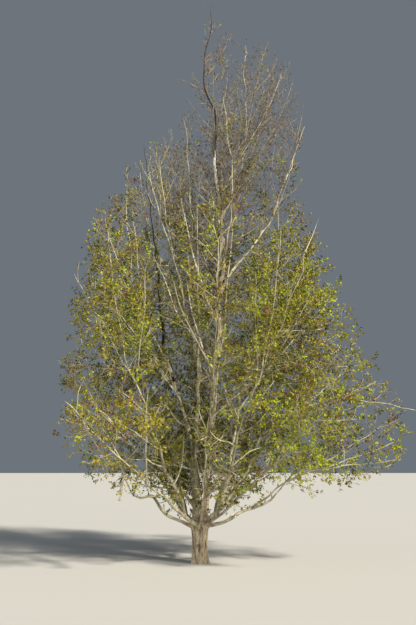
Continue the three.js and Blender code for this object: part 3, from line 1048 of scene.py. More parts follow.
class Board:
    """The nodes of one material."""

    def __init__(self, name: str) -> None:
        """Makes a material with nothing but its output.

        Args:
            name: Its name.
        """
        self.material = bpy.data.materials.new(name)
        self.material.use_nodes = True
        self.tree = self.material.node_tree
        self.tree.nodes.clear()
        self.output = self.tree.nodes.new("ShaderNodeOutputMaterial")

    def feed(self, socket: bpy.types.NodeSocket, value: "Wire | float | tuple") -> None:
        """Links or sets a socket.

        Args:
            socket: The socket.
            value: A wire, or the value to set.
        """
        if isinstance(value, Wire):
            self.tree.links.new(value.socket, socket)
        elif isinstance(value, tuple) and socket.type == "RGBA":
            socket.default_value = (*value, 1)
        else:
            socket.default_value = value

    def node(self, kind: str, settings: dict | None = None, inputs: dict | None = None,
             output: int | str = 0) -> Wire:
        """Adds a node.

        Args:
            kind: Its type.
            settings: Its settings, with a ramp's stops as places and colours.
            inputs: Values or wires by the name or the number of the socket.
            output: Name or number of the output that is wanted.

        Returns:
            That output.
        """
        made = self.tree.nodes.new(kind)
        for name, value in (settings or {}).items():
            if name == "stops":
                self.set_stops(made.color_ramp, value)
            else:
                setattr(made, name, value)
        for name, value in (inputs or {}).items():
            self.feed(made.inputs[name], value)
        return Wire(self, made.outputs[output])

    @staticmethod
    def set_stops(ramp: bpy.types.ColorRamp, stops: list[tuple[float, float]]) -> None:
        """Gives a ramp its stops.

        Args:
            ramp: The ramp.
            stops: Places with a brightness each.
        """
        while len(ramp.elements) < len(stops):
            ramp.elements.new(0.5)
        for element, (place, value) in zip(ramp.elements, stops):
            element.position = place
            element.color = (value, value, value, 1)

    def place(self) -> Wire:
        """The place on the object, in metres."""
        return self.node("ShaderNodeTexCoord", output="Object")

    def cloud(self, place: Wire, scale: float, detail: float = 3, roughness: float = 0.55) -> Wire:
        """A cloudy pattern from 0 to 1."""
        inputs = {"Vector": place, "Scale": scale, "Detail": detail, "Roughness": roughness}
        return self.node("ShaderNodeTexNoise", inputs=inputs)

    def rise(self, value: Wire, low: float, high: float) -> Wire:
        """A soft step from 0 at low to 1 at high."""
        return self.node("ShaderNodeValToRGB", {"stops": [(low, 0), (high, 1)]}, {"Fac": value})

    def fall(self, value: Wire, low: float, high: float) -> Wire:
        """A soft step from 1 at low to 0 at high."""
        return self.node("ShaderNodeValToRGB", {"stops": [(low, 1), (high, 0)]}, {"Fac": value})

    def mix(self, mask: Wire | float, first: Wire | Colour, second: Wire | Colour) -> Wire:
        """Mixes two colours.

        Args:
            mask: How much of the second shows.
            first: The first colour.
            second: The second colour.

        Returns:
            The mixed colour.
        """
        made = self.tree.nodes.new("ShaderNodeMix")
        made.data_type = "RGBA"
        colours = [socket for socket in made.inputs if socket.type == "RGBA"]
        self.feed(made.inputs[0], mask)
        self.feed(colours[0], first)
        self.feed(colours[1], second)
        return Wire(self, next(socket for socket in made.outputs if socket.type == "RGBA"))

    def finish(self, **sockets: "Wire | float | tuple") -> bpy.types.Material:
        """Closes the material with its shader.

        Args:
            sockets: The shader's sockets, with _ for a space in a name.

        Returns:
            The material.
        """
        inputs = {name.replace("_", " "): value for name, value in sockets.items()}
        shader = self.node("ShaderNodeBsdfPrincipled", inputs=inputs)
        self.feed(self.output.inputs["Surface"], shader)
        return self.material


@dataclass(frozen=True)
class BarkFinish:
    """Bark with dark fissures, tone that varies from patch to patch, and lichen.

    Colours are given as codes. The streak is how long the patches are drawn out upwards, and the relief
    is how far the fine grain stands out.
    """

    name: str
    light: str
    shade: str
    fissure: str
    lichen: str
    lichen_from: float
    patch: float
    grain: float
    relief: float
    streak: float = 1
    depth: float = 0.8

    ATTRIBUTE = "fissure"
    PATCH_EDGE = (0.4, 0.6)
    LICHEN_SCALE = 2.2
    LICHEN_EDGE = 0.07
    LICHEN_COVER = 0.8
    LICHEN_LIFT = 0.3
    CRACK_EDGE = (0.3, 0.5)
    CRACK_COVER = 0.55
    BUMP = 0.8
    ROUGHNESS = (0.95, 0.12)
    SPECULAR = 0.25

    def material(self) -> bpy.types.Material:
        """Makes the material of this finish.

        Returns:
            The material.
        """
        board = Board(self.name)
        place = board.place()
        stretch = {"Vector": place, "Scale": (1, 1, 1 / self.streak)}
        drawn = board.node("ShaderNodeMapping", inputs=stretch)
        patches = board.rise(board.cloud(drawn, self.patch), *self.PATCH_EDGE)
        grain = board.cloud(drawn, self.grain, detail=5, roughness=0.65)
        spots = board.cloud(place, self.patch * self.LICHEN_SCALE, detail=4)
        lichen = board.rise(spots, self.lichen_from, self.lichen_from + self.LICHEN_EDGE)
        # How deep the mesh's fissures are at each point, used below to paint shade in them.
        painted_fissure_shade = board.node("ShaderNodeAttribute", {"attribute_name": self.ATTRIBUTE}, output="Fac")
        colour = board.mix(patches, srgb(self.light), srgb(self.shade))
        colour = board.mix(lichen * self.LICHEN_COVER, colour, srgb(self.lichen))
        cracks = board.fall(grain, *self.CRACK_EDGE) * self.CRACK_COVER
        colour = board.mix(cracks, colour, srgb(self.fissure))
        # Painted shade: the colour darkens towards the fissure colour as deep as the mesh's fissures go.
        colour = board.mix(painted_fissure_shade * self.depth, colour, srgb(self.fissure))
        height = grain + lichen * self.LICHEN_LIFT
        relief = {"Strength": self.BUMP, "Distance": self.relief, "Height": height}
        rough, less = self.ROUGHNESS
        return board.finish(Base_Color=colour, Roughness=rough - less * patches,
                            Normal=board.node("ShaderNodeBump", inputs=relief),
                            Specular_IOR_Level=self.SPECULAR)


@dataclass(frozen=True)
class LeafFinish:
    """A small matt leaf, a little mottled with the shade that it withers to."""

    name: str
    blade: str
    mottle: str
    share: float = 0.45
    roughness: float = 0.68

    MOTTLE_SCALE = 38
    MOTTLE_EDGE = (0.42, 0.66)
    ROUGHER = 0.15
    SPECULAR = 0.2

    def material(self) -> bpy.types.Material:
        """Makes the material of this finish.

        Returns:
            The material.
        """
        board = Board(self.name)
        mottle = board.rise(board.cloud(board.place(), self.MOTTLE_SCALE, detail=2), *self.MOTTLE_EDGE)
        colour = board.mix(mottle * self.share, srgb(self.blade), srgb(self.mottle))
        return board.finish(Base_Color=colour, Roughness=self.roughness + self.ROUGHER * mottle,
                            Specular_IOR_Level=self.SPECULAR)


class Tint(Enum):
    """The tints of the leaves, each dealt out to whole sprays."""

    OLIVE = LeafFinish("leaf_olive", "88811e", "676019")
    # Bright yellow-green, partly painted light: it gathers on the lower right, where the key light
    # falls.
    LIME = LeafFinish("leaf_lime", "9ba61d", "7d861a")
    # Dull dark green, partly painted shade: it gathers inside the crown, near the trunk.
    MOSS = LeafFinish("leaf_moss", "4d5716", "343c10")
    OCHRE = LeafFinish("leaf_ochre", "9c922e", "786d25")
    RUST = LeafFinish("leaf_rust", "76542e", "543922")


class Skin(Enum):
    """The barks of the trunk, the limbs and the twigs."""

    TRUNK = BarkFinish("bark_trunk", light="d8c8ac", shade="af9e84", fissure="382d22", lichen="bdb996",
                       lichen_from=0.60, patch=9, grain=60, relief=0.006, streak=3)
    BOUGH = BarkFinish("bark_bough", light="cfc8b2", shade="a49c84", fissure="443e31", lichen="babb95",
                       lichen_from=0.50, patch=8, grain=90, relief=0.003, depth=0.6)
    BLEACHED = BarkFinish("bark_bleached", light="efeadd", shade="d4ccb8", fissure="857b66",
                          lichen="d2cfb4", lichen_from=0.62, patch=8, grain=90, relief=0.003, depth=0.6)
    DARK = BarkFinish("bark_dark", light="4a4034", shade="2e271f", fissure="17120e", lichen="6b6850",
                      lichen_from=0.60, patch=8, grain=90, relief=0.003)
    TWIG = BarkFinish("bark_twig", light="aba181", shade="857a5f", fissure="4c432e", lichen="a5a47a",
                      lichen_from=0.55, patch=9, grain=120, relief=0.001)
    TOP_TWIG = BarkFinish("bark_top_twig", light="9a8f7f", shade="6d6259", fissure="3f362f",
                          lichen="98947a", lichen_from=0.60, patch=9, grain=120, relief=0.001)


HAW_SKIN = LeafFinish("haw_skin", "5e2a20", "3f2019", share=0.5, roughness=0.35)


def assign(piece: bpy.types.Object, nodes: list[str]) -> None:
    """Hides the solids that a piece replaces.

    Args:
        piece: The piece, which is not used.
        nodes: The solids that it replaces, if any.
    """
    if nodes:
        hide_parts(*nodes)


@dataclass(frozen=True)
class Bark:
    """The relief of bark: long fissures along a limb, and swellings.

    It shows in full where the limb has the full radius, and less where it is thinner.
    """

    width: float
    depth: float
    swelling: float
    full: float
    stretch: float = 5.5
    seam: float = 0.11

    WOBBLE = 0.5
    WOBBLE_SCALE = 2.7
    FINE = 0.6
    FINE_SCALE = 2.3
    SWELLING_SCALE = 0.35

    def crack(self, value: float) -> float:
        """How deep a fissure is where its pattern has a value, deepest at 0."""
        return math.exp(-((value / self.seam) ** 2))

    def relief(self, offsets: Array, runs: Array, seed: float) -> tuple[Array, Array]:
        """Reads the relief.

        Args:
            offsets: Offsets of points from the line of the limb.
            runs: How far along the limb they lie.
            seed: Sets limbs apart.

        Returns:
            How deep a fissure is at each point, from 0 to 1, and how far the skin moves outwards.
        """
        fissure, out = np.empty(len(runs)), np.empty(len(runs))
        for i, (offset, run) in enumerate(zip(offsets / self.width, runs / self.width)):
            place = Vector((offset[0] + seed, offset[1] - seed, offset[2] + run / self.stretch))
            wobble = self.WOBBLE * noise.noise(place * self.WOBBLE_SCALE)
            seam = noise.noise(place + Vector((wobble, -wobble, 0)))
            fine = noise.noise(place * self.FINE_SCALE)
            fissure[i] = max(self.crack(seam), self.FINE * self.crack(fine))
            out[i] = self.swelling * noise.noise(place * self.SWELLING_SCALE) - self.depth * fissure[i]
        return fissure, out


@dataclass(frozen=True)
class Snag:
    """A dead stub, or a small dead limb, on a bough."""

    parent: str
    share: float
    azimuth: float
    rises: Rises
    run: float
    foot: float
    tip: float
    on_stem: bool = False

    STEPS = 6
    PLACES = 14
    SIDES = 9
    RISE_STRAY = 16
    TURN_STRAY = 24

    def line(self, start: Array, draws: Draws) -> Limb:
        """Draws its line.

        Args:
            start: Where it leaves what carries it.
            draws: Its stream of random numbers.

        Returns:
            The line.
        """
        points = [start]
        for i in range(self.STEPS):
            rise = bend(self.rises, (i + 0.5) / self.STEPS) + draws.either(self.RISE_STRAY)
            azimuth = self.azimuth + draws.either(self.TURN_STRAY)
            points.append(points[-1] + heading(azimuth, rise) * self.run / self.STEPS)
        radii = np.linspace(self.foot, self.tip, self.STEPS + 1)
        return Limb(np.array(points), radii).smoothed(self.PLACES)


SNAGS = tuple(Snag(*row) for row in (
    ("right_fork", 0.2, -40, (20, 28, 34), 0.15, 0.026, 0.023),
    ("right_fork", 0.42, 150, (50, 60, 66), 0.12, 0.016, 0.013),
    ("low_right", 0.22, 12, (48, 40, 36), 0.17, 0.021, 0.018),
    ("low_right", 0.3, -70, (4, 12, 20), 0.14, 0.015, 0.012),
    ("low_right", 0.36, 20, (36, 24, 30), 0.26, 0.014, 0.009),
    ("low_right", 0.48, 10, (58, 40, 26), 0.2, 0.012, 0.008),
    ("low_right", 0.62, -60, (36, 44, 52), 0.1, 0.015, 0.012),
    ("low_right", 0.74, 150, (58, 70, 80), 0.12, 0.013, 0.01),
    ("low_right", 0.9, 0, (10, 20, 26), 0.14, 0.012, 0.009),
    ("low_left", 0.34, 100, (70, 60, 74), 0.13, 0.013, 0.01),
    ("low_left", 0.68, -120, (20, 34, 40), 0.09, 0.015, 0.013),
    ("low_left", 0.9, 215, (-56, -80, -74), 0.4, 0.022, 0.016),
    ("low_left", 0.06, 184, (2, -6, 8), 0.46, 0.014, 0.005, True),
    ("low_left", 0.52, 200, (50, 64, 70), 0.3, 0.01, 0.004),
    ("pale", 0.3, 196, (64, 48, 52), 0.3, 0.014, 0.007),
    ("pale", 0.5, -20, (40, 52, 60), 0.42, 0.014, 0.005),
    ("middle", 0.42, -30, (30, 44, 50), 0.36, 0.013, 0.005),
    ("left_stem", 0.3, 240, (36, 50, 56), 0.3, 0.012, 0.005),
    ("back_left", 0.5, 150, (-10, -22, -8), 0.4, 0.012, 0.004),
    ("back_right", 0.4, 30, (60, 66, 72), 0.16, 0.014, 0.011),
    ("back", 0.4, 120, (50, 56, 60), 0.2, 0.013, 0.009),
    ("leader", 0.5, -60, (26, 34, 40), 0.2, 0.016, 0.012),
    ("leader", 0.35, 140, (20, 26, 40), 0.16, 0.017, 0.013),
))


@dataclass
class Wood:
    """The trunk, the fork where its boughs grow together, the boughs beyond it and their dead snags."""

    skeleton: Skeleton
    unrest: Unrest
    skins: Skins
    fork_reach: float = 0.52
    fork_middle: float = 0.62
    cell: float = 0.0092
    overlap: float = 0.07
    tuck: float = 0.0035
    ring_share: float = 0.55
    ring_least: float = 0.02
    least_rings: int = 12
    least_foot: int = 4
    least_ending: int = 2
    foot_sides: int = 16
    smoothing: tuple[float, int] = (0.5, 5)
    cut_width: float = 1e-5
    stem_places: int = 30
    seed_step: float = 7.3
    head: float = 0.76
    sunk: float = 0.03
    dome: float = 0.119
    dome_turn: Range = (0.15, 1.5)
    trunk_rings: tuple[int, int] = (40, 12)
    trunk_sides: int = 72
    spurs: tuple[int, float, float, float] = (5, 0.024, 0.07, 1.2)
    flutes: tuple[tuple[int, float], ...] = ((4, 0.007), (7, 0.005))
    flute_turn: float = 0.6
    waist: float = 0.127
    widening: Range = (0.38, 0.64)
    groove: tuple[float, float, float, float] = (-2.0, 0.6, 0.17, 0.038)
    smooth_below: float = 0.02
    relief_axes: Place = (1, 1, 0.6)
    edge_unrest: float = 0.3
    pale_from: float = 0.16
    pale_edge: float = 9
    bleached: Range = (5.9, 7.35)
    bleached_edge: float = 7
    sides_per_metre: float = 300
    bough_sides: tuple[int, int] = (8, 24)
    snag_seeds: tuple[int, int] = (701, 13)
    snag_bark: Range = (90, 3.1)
    snag_relief: float = 0.5
    trunk_bark: Bark = Bark(width=0.05, depth=0.0085, swelling=0.012, full=0.07)
    bough_bark: Bark = Bark(width=0.036, depth=0.003, swelling=0.011, full=0.022, stretch=3.6)
    lines: dict[str, Limb] = field(default_factory=dict)
    stems: dict[str, Limb] = field(default_factory=dict)
    ends: dict[str, int] = field(default_factory=dict)

    def __post_init__(self) -> None:
        """Draws every stem and bough as a smooth line that bends with the crown's unrest."""
        for name, stem in self.skeleton.stems.items():
            smooth = stem.smoothed(self.stem_places)
            self.stems[name] = Limb(self.unrest.move(smooth.points), smooth.radii)
        for name, limb in self.skeleton.limbs.items():
            if name != "trunk":
                every = max(self.ring_least, self.ring_share * float(limb.radii.mean()))
                smooth = limb.smoothed(max(self.least_rings, round(limb.length() / every)))
                self.lines[name] = Limb(self.unrest.move(smooth.points), smooth.radii)
        names = ("trunk", *self.lines)
        self.seeds = {name: self.seed_step * number for number, name in enumerate(names)}

    def radius(self, height: Array, angle: Array) -> Array:
        """Radius of the trunk.

        Args:
            height: Heights.
            angle: Angles round the trunk, in radians.

        Returns:
            The radius at each.
        """
        low, high = self.widening
        t = ramp(height, low, high - low)
        core = blend(self.waist, self.skeleton.trunk_head, t * t * (3 - 2 * t))
        count, depth, reach, turned = self.spurs
        spurs = depth * np.exp(-np.maximum(0, height) / reach) * (1 + np.cos(count * angle + turned))
        flutes = sum(deep * np.cos(number * angle + self.flute_turn + i)
                     for i, (number, deep) in enumerate(self.flutes))
        start, lean, wide, deep = self.groove
        apart = np.angle(np.exp(1j * (angle - start - lean * height)))
        core = core - deep * np.exp(-((apart / wide) ** 2))
        dome = np.sqrt(np.clip(1 - (np.maximum(0, height - high) / (self.head - high)) ** 2, 0, 1))
        return (core + spurs + flutes) * dome

    def trunk_skin(self) -> tuple[Array, Array]:
        """Makes a closed skin of the trunk that reaches a little below the ground.

        Returns:
            The vertices and the triangles.
        """
        along, over = self.trunk_rings
        top = self.widening[1]
        dome = top + self.dome * np.sin(np.linspace(*self.dome_turn, over))
        heights = np.concatenate([[-self.sunk], np.linspace(0, top, along), dome])
        angle = 2 * np.pi * np.arange(self.trunk_sides) / self.trunk_sides
        tall, turn = np.meshgrid(heights, angle, indexing="ij")
        wide = self.radius(tall, turn)
        rings = np.stack([wide * np.cos(turn), wide * np.sin(turn), tall], axis=-1)
        line = np.outer(heights, UP)[None]
        faces = sweep(line, np.ones((1, len(heights))), self.trunk_sides, False)[1]
        return rings.reshape(-1, 3), faces

    def leaves_fork(self, limb: Limb) -> float:
        """How far along a smooth limb it leaves the fork for good."""
        away = np.linalg.norm(limb.points - self.fork_middle * UP, axis=1)
        return (np.flatnonzero(away <= self.fork_reach).max(initial=-1) + 1) / (len(limb.points) - 1)

    def ending(self, limb: Limb) -> int:
        """How many rings of a smooth limb lie where the fork and the bough overlap."""
        return max(self.least_ending, round(self.overlap / limb.length() * (len(limb.points) - 1)))

    def build(self) -> None:
        """Builds the fork with the trunk, each bough, and the dead snags."""
        self.build_fork()
        for name in self.lines:
            self.build_bough(name)
        self.build_snags()

    def build_fork(self) -> None:
        """Grows the trunk and the feet of the boughs together into one skin."""
        heap = Heap()
        heap.add(*self.trunk_skin())
        feet = {}
        for name, limb in self.lines.items():
            share = self.leaves_fork(limb)
            if share == 0:
                continue
            kept = max(self.least_foot, math.ceil(share * (len(limb.points) - 1)) + 1)
            radii = limb.radii[:kept].copy()
            ending = self.ending(limb)
            radii[-ending:] -= np.linspace(0, self.tuck, ending)
            feet[name] = Limb(limb.points[:kept], radii)
            heap.add(*sweep(feet[name].points[None], radii[None], self.foot_sides, False))
        self.ends = {name: len(foot.points) - 1 for name, foot in feet.items()}
        raw = heap.build("fork_raw", [], True)
        raw.modifiers.new("skin", "REMESH").voxel_size = self.cell
        smooth = raw.modifiers.new("smooth", "SMOOTH")
        smooth.factor, smooth.iterations = self.smoothing
        bpy.context.view_layer.update()
        skin = bpy.data.meshes.new_from_object(raw.evaluated_get(bpy.context.evaluated_depsgraph_get()))
        bpy.data.objects.remove(raw)
        vertices, faces = self.flat_foot(skin)
        self.finish_fork(vertices, faces, feet)

    def flat_foot(self, skin: bpy.types.Mesh) -> tuple[Array, Array]:
        """Cuts the skin flat at ground level and closes it there.

        Args:
            skin: The skin, which is used up.

        Returns:
            The vertices and the triangles.
        """
        mesh = bmesh.new()
        mesh.from_mesh(skin)
        everything = [*mesh.verts, *mesh.edges, *mesh.faces]
        cut = bmesh.ops.bisect_plane(mesh, geom=everything, dist=self.cut_width, plane_co=(0, 0, 0),
                                     plane_no=(0, 0, 1), clear_inner=True)
        rim = [edge for edge in cut["geom_cut"] if isinstance(edge, bmesh.types.BMEdge)]
        bmesh.ops.contextual_create(mesh, geom=rim)
        bmesh.ops.triangulate(mesh, faces=mesh.faces[:])
        mesh.verts.index_update()
        vertices = np.array([vertex.co for vertex in mesh.verts])
        faces = np.array([[vertex.index for vertex in face.verts] for face in mesh.faces])
        mesh.free()
        bpy.data.meshes.remove(skin)
        return vertices, faces

    def finish_fork(self, vertices: Array, faces: Array, feet: dict[str, Limb]) -> None:
        """Gives the fork its relief and its two barks.

        Args:
            vertices: Its vertices.
            faces: Its triangles.
            feet: The feet of the boughs.
        """
        whole = [self.skeleton.limbs["trunk"], *feet.values()]
        limb, run, offset = Spines.of(whole).nearest(vertices)
        corners = vertices[faces]
        square = np.cross(corners[:, 1] - corners[:, 0], corners[:, 2] - corners[:, 0])
        normals = np.zeros_like(vertices)
        for i in range(3):
            np.add.at(normals, faces[:, i], square)
        relief, out = np.zeros(len(vertices)), np.zeros(len(vertices))
        names = ["trunk", *feet]
        for number, name in enumerate(names):
            own = limb == number
            bark = self.trunk_bark if name in ("trunk", "leader") else self.bough_bark
            relief[own], out[own] = bark.relief(offset[own], run[own], self.seeds[name])
        free = ramp(vertices[:, 2], 0, self.smooth_below)
        moved = vertices + unit(normals) * (out * free)[:, None] * np.array(self.relief_axes)
        moved[:, 2] = np.maximum(0, moved[:, 2])
        trunk_like = np.array([name in ("trunk", "leader") for name in names])
        from_fork = run + ragged(vertices, self.pale_edge, self.edge_unrest)
        pale = ~trunk_like[limb] & (from_fork > self.pale_from)
        finish = (pale[faces].sum(axis=1) > 1).astype(int)
        heap = Heap()
        heap.add(moved, faces, finish, relief)
        piece = heap.build("trunk_and_fork", [self.skins[Skin.TRUNK], self.skins[Skin.BOUGH]], True)
        assign(piece, ["trunk"])

    def leader_finish(self, vertices: Array, faces: Array) -> Array:
        """Numbers of the triangles' materials: trunk bark, bleached wood, and dark wood at the top."""
        height = vertices[:, 2] + ragged(vertices, self.bleached_edge, self.edge_unrest)
        return np.searchsorted(self.bleached, height[faces].mean(axis=1))

    @staticmethod
    def barked(limb: Limb, runs: Array, sides: int, bark: Bark, seed: float,
               share: Array) -> tuple[Array, Array, Array]:
        """The skin of a limb with the relief of its bark.

        Args:
            limb: Its line and radii.
            runs: How far along the whole limb each of its points lies.
            sides: How many flat sides the skin has.
            bark: The relief.
            seed: Sets limbs apart.
            share: How much of the relief shows at each of its points.

        Returns:
            The vertices, the triangles, and how deep a fissure is at each vertex.
        """
        vertices, faces = sweep(limb.points[None], limb.radii[None], sides, False)
        offset = vertices - np.repeat(limb.points, sides, axis=0)
        relief, out = bark.relief(offset, np.repeat(runs, sides), seed)
        return vertices + unit(offset) * (out * np.repeat(share, sides))[:, None], faces, relief

    def build_bough(self, name: str) -> None:
        """Builds one bough from where it leaves the fork, with its relief.

        Args:
            name: Its name.
        """
        whole = self.lines[name]
        ending = self.ending(whole)
        start = max(0, self.ends.get(name, 0) - ending)
        limb = Limb(whole.points[start:], whole.radii[start:].copy())
        if start:
            limb.radii[:ending + 1] -= np.linspace(self.tuck, 0, ending + 1)
        sides = int(np.clip(round(limb.radii.max() * self.sides_per_metre), *self.bough_sides))
        runs = np.concatenate([[0], np.cumsum(whole.steps())])[start:]
        leading = name == "leader"
        bark = self.trunk_bark if leading else self.bough_bark
        share = np.minimum(1, limb.radii / bark.full)
        vertices, faces, relief = self.barked(limb, runs, sides, bark, self.seeds[name], share)
        finish = self.leader_finish(vertices, faces) if leading else 0
        skins = [Skin.DARK if name == "dark" else Skin.BOUGH]
        if leading:
            skins = [Skin.TRUNK, Skin.BLEACHED, Skin.DARK]
        heap = Heap()
        heap.add(vertices, faces, finish, relief)
        piece = heap.build(f"{name}_limb", [self.skins[skin] for skin in skins], True)
        assign(piece, [f"{name}_bough"])

    def build_snags(self) -> None:
        """Builds the dead stubs and small dead limbs."""
        heap = Heap()
        seed, step = self.snag_bark
        for number, snag in enumerate(SNAGS):
            carrier = (self.stems if snag.on_stem else self.lines)[snag.parent]
            limb = snag.line(carrier.at(snag.share)[0], Draws.numbered(self.snag_seeds, number))
            runs = np.linspace(0, snag.run, Snag.PLACES)
            share = np.full(Snag.PLACES, self.snag_relief)
            vertices, faces, relief = self.barked(limb, runs, Snag.SIDES, self.bough_bark,
                                                  step * number + seed, share)
            heap.add(vertices, faces, 0, relief)
        assign(heap.build("dead_snags", [self.skins[Skin.BLEACHED]], True), [])


@dataclass(frozen=True)
class Whip:
    """A long shoot from a bough, or from the stem of its mass, to a place in the crown."""

    parent: str
    on_stem: bool
    share: float
    tip: Place
    foot: float
    outward: float = 0.72
    upright: float = 0.42
    dead: bool = False

    FOOT_SHARE = 0.8

    def course(self, foot: Array, t: Array) -> Array:
        """Points at shares t of a curve from a foot, which sets out sideways and ends upright."""
        middle = blend(foot, np.array(self.tip), np.array([self.outward, self.outward, self.upright]))
        return (1 - t) ** 2 * foot + 2 * t * (1 - t) * middle + t**2 * np.array(self.tip)


WHIPS = tuple(Whip(*row) for row in (
    ("right_stem", False, 0.9, (2.15, -0.3, 5.95), 0.02, 0.6, 0.5, True),
    ("right_stem", False, 0.6, (2.26, -0.5, 4.4), 0.018, 0.5, 0.6, True),
    ("right_fork", True, 0.5, (2.75, 0.0, 3.3), 0.018, 0.5, 0.9, True),
    ("middle", False, 0.8, (-0.85, -0.35, 5.3), 0.018, 0.6, 0.4, True),
    ("leader", False, 0.55, (-0.3, -0.35, 6.2), 0.024, 0.8, 0.4, True),
    ("leader", False, 0.42, (-0.24, -0.45, 4.75), 0.022, 0.8, 0.4, True),
    ("left_stem", True, 0.1, (-2.0, -0.35, 2.75), 0.014, 0.5, 0.7, True),
    ("pale", False, 0.75, (-1.6, -0.5, 4.35), 0.016, 0.5, 0.5, True),
    ("low_right", True, 0.1, (2.45, -0.45, 2.0), 0.013, 0.5, 0.9, True),
    ("leader", True, 0.59, (0.61, 0.02, 9.97), 0.013),
    ("leader", True, 0.2, (0.54, 0.12, 9.43), 0.013),
    ("leader", True, 0.05, (1.16, -0.15, 9.2), 0.016),
    ("right_spire", False, 0.5, (1.46, 0.25, 9.27), 0.014),
    ("leader", False, 0.93, (1.84, 0.1, 9.1), 0.016),
    ("leader", False, 0.86, (0.95, 0.85, 9.05), 0.015),
    ("leader", False, 0.9, (1.1, -0.8, 8.9), 0.015),
    ("leader", True, 0.12, (0.3, 0.85, 8.9), 0.014),
    ("leader", True, 0.14, (0.22, -0.85, 8.7), 0.013),
    ("right_high", False, 0.6, (1.5, 0.5, 8.7), 0.014),
    ("right_high", False, 0.7, (1.93, -0.25, 8.25), 0.014),
    ("leader", True, 0.45, (-0.48, 0.0, 8.92), 0.009, 0.55, 0.9),
    ("leader", False, 0.66, (0.4, -0.1, 8.0), 0.024, 1.1, 0.4),
    ("leader", False, 0.6, (0.05, 0.3, 7.5), 0.022, 0.7, 0.4),
    ("leader", False, 0.5, (0.75, 0.35, 7.4), 0.022),
    ("middle", False, 0.75, (-0.35, -0.15, 6.9), 0.024, 0.5, 0.4),
    ("middle", False, 0.6, (-0.05, -0.55, 6.3), 0.022, 0.5, 0.4),
    ("middle", False, 0.97, (-0.62, 0.05, 7.0), 0.02),
    ("front_stem", False, 0.7, (0.55, -1.0, 5.9), 0.02),
    ("leader", False, 0.07, (0.3, -0.5, 2.0), 0.009),
    ("left_high", False, 0.6, (-0.5, 0.3, 7.75), 0.012),
    ("left_high", False, 0.4, (-0.95, -0.2, 7.2), 0.014),
    ("middle", True, 0.3, (-1.25, 0.3, 6.9), 0.012),
    ("middle", True, 0.2, (-0.7, -0.7, 6.9), 0.013),
    ("back_high", False, 0.5, (-0.4, 0.9, 7.4), 0.013),
    ("pale", True, 0.3, (-1.75, -0.3, 6.1), 0.013),
    ("right_stem", True, 0.1, (2.3, 0.1, 4.7), 0.014),
    ("right_stem", False, 0.75, (2.5, -0.35, 3.9), 0.016, 0.6, 0.5),
    ("right_fork", True, 0.3, (2.6, 0.45, 3.75), 0.014, 0.6, 0.5),
    ("right_arch", False, 0.45, (2.75, -0.1, 3.45), 0.012, 0.6, 0.5),
    ("right_arch", False, 0.7, (3.15, 0.15, 3.05), 0.011, 0.6, 0.5),
    ("right_reach", False, 0.6, (3.1, -0.5, 2.25), 0.011, 0.6, 0.5),
    ("right_reach", False, 0.8, (3.35, -0.35, 2.0), 0.01, 0.6, 0.5),
    ("left_stem", True, 0.2, (-2.25, 0.2, 4.2), 0.012),
    ("back_left_stem", True, 0.2, (-1.6, 1.5, 5.6), 0.012),
    ("back_right_stem", True, 0.2, (1.5, 1.7, 5.6), 0.012),
    ("front_right_stem", True, 0.2, (1.3, -1.6, 5.4), 0.012),
    ("front_left_stem", True, 0.2, (-1.5, -1.4, 5.5), 0.012),
    ("front_stem", True, 0.25, (0.35, -2.0, 5.5), 0.012),
    ("back_stem", True, 0.2, (-0.2, 2.2, 5.6), 0.012),
    ("left_stem", True, 0.15, (-2.0, -0.85, 3.2), 0.013),
    ("left_stem", True, 0.1, (-2.0, 0.85, 3.3), 0.013),
    ("pale", False, 0.9, (-1.55, -0.95, 4.5), 0.013),
    ("pale", False, 0.85, (-1.55, 0.95, 4.5), 0.013),
    ("pale", True, 0.2, (-1.15, 0.9, 5.9), 0.012),
    ("pale", True, 0.25, (-1.15, -0.9, 5.8), 0.012),
    ("pale", True, 0.5, (-1.35, -0.25, 6.75), 0.011),
    ("dark", False, 0.75, (-1.15, 0.2, 7.15), 0.01),
    ("right_fork", False, 0.95, (2.4, 0.95, 3.2), 0.013),
    ("right_fork", False, 0.9, (2.4, -0.95, 3.2), 0.013),
    ("right_stem", False, 0.8, (1.85, 0.95, 4.5), 0.013),
    ("right_stem", False, 0.7, (1.85, -0.95, 4.5), 0.013),
    ("right_stem", True, 0.2, (1.35, 0.95, 6.0), 0.012),
    ("right_stem", True, 0.25, (1.35, -0.95, 6.0), 0.012),
    ("front_stem", False, 0.4, (0.25, -2.3, 3.2), 0.013),
    ("front_left", False, 0.85, (-0.75, -2.2, 2.7), 0.013),
    ("front_left_stem", True, 0.1, (-0.8, -1.95, 4.6), 0.012),
    ("front_right_stem", True, 0.1, (0.85, -2.0, 4.5), 0.012),
    ("front_stem", False, 0.8, (-0.4, -2.2, 4.3), 0.013),
    ("back_stem", False, 0.8, (0.4, 2.4, 4.4), 0.013),
))


class Side(Enum):
    """The sides of the crown, each with its masses of twigs."""

    LEFT = ("low_left", "left_stem", "pale", "front_left", "front_left_stem", "dark")
    RIGHT = ("low_right", "right_fork", "right_arch", "right_reach", "right_stem", "front_right")
    BACK = ("back", "back_stem", "back_left", "back_left_stem", "back_right", "back_right_stem")
    MIDDLE = ("front", "front_stem", "front_right_stem", "middle")
    TOP = ("leader", "left_high", "right_high", "front_high", "back_high", "right_spire", "far_spire")


# Marks that stand among the numbers of the tints: a twig without leaves, and a dead whip.
BARE = -1
DEAD = -2


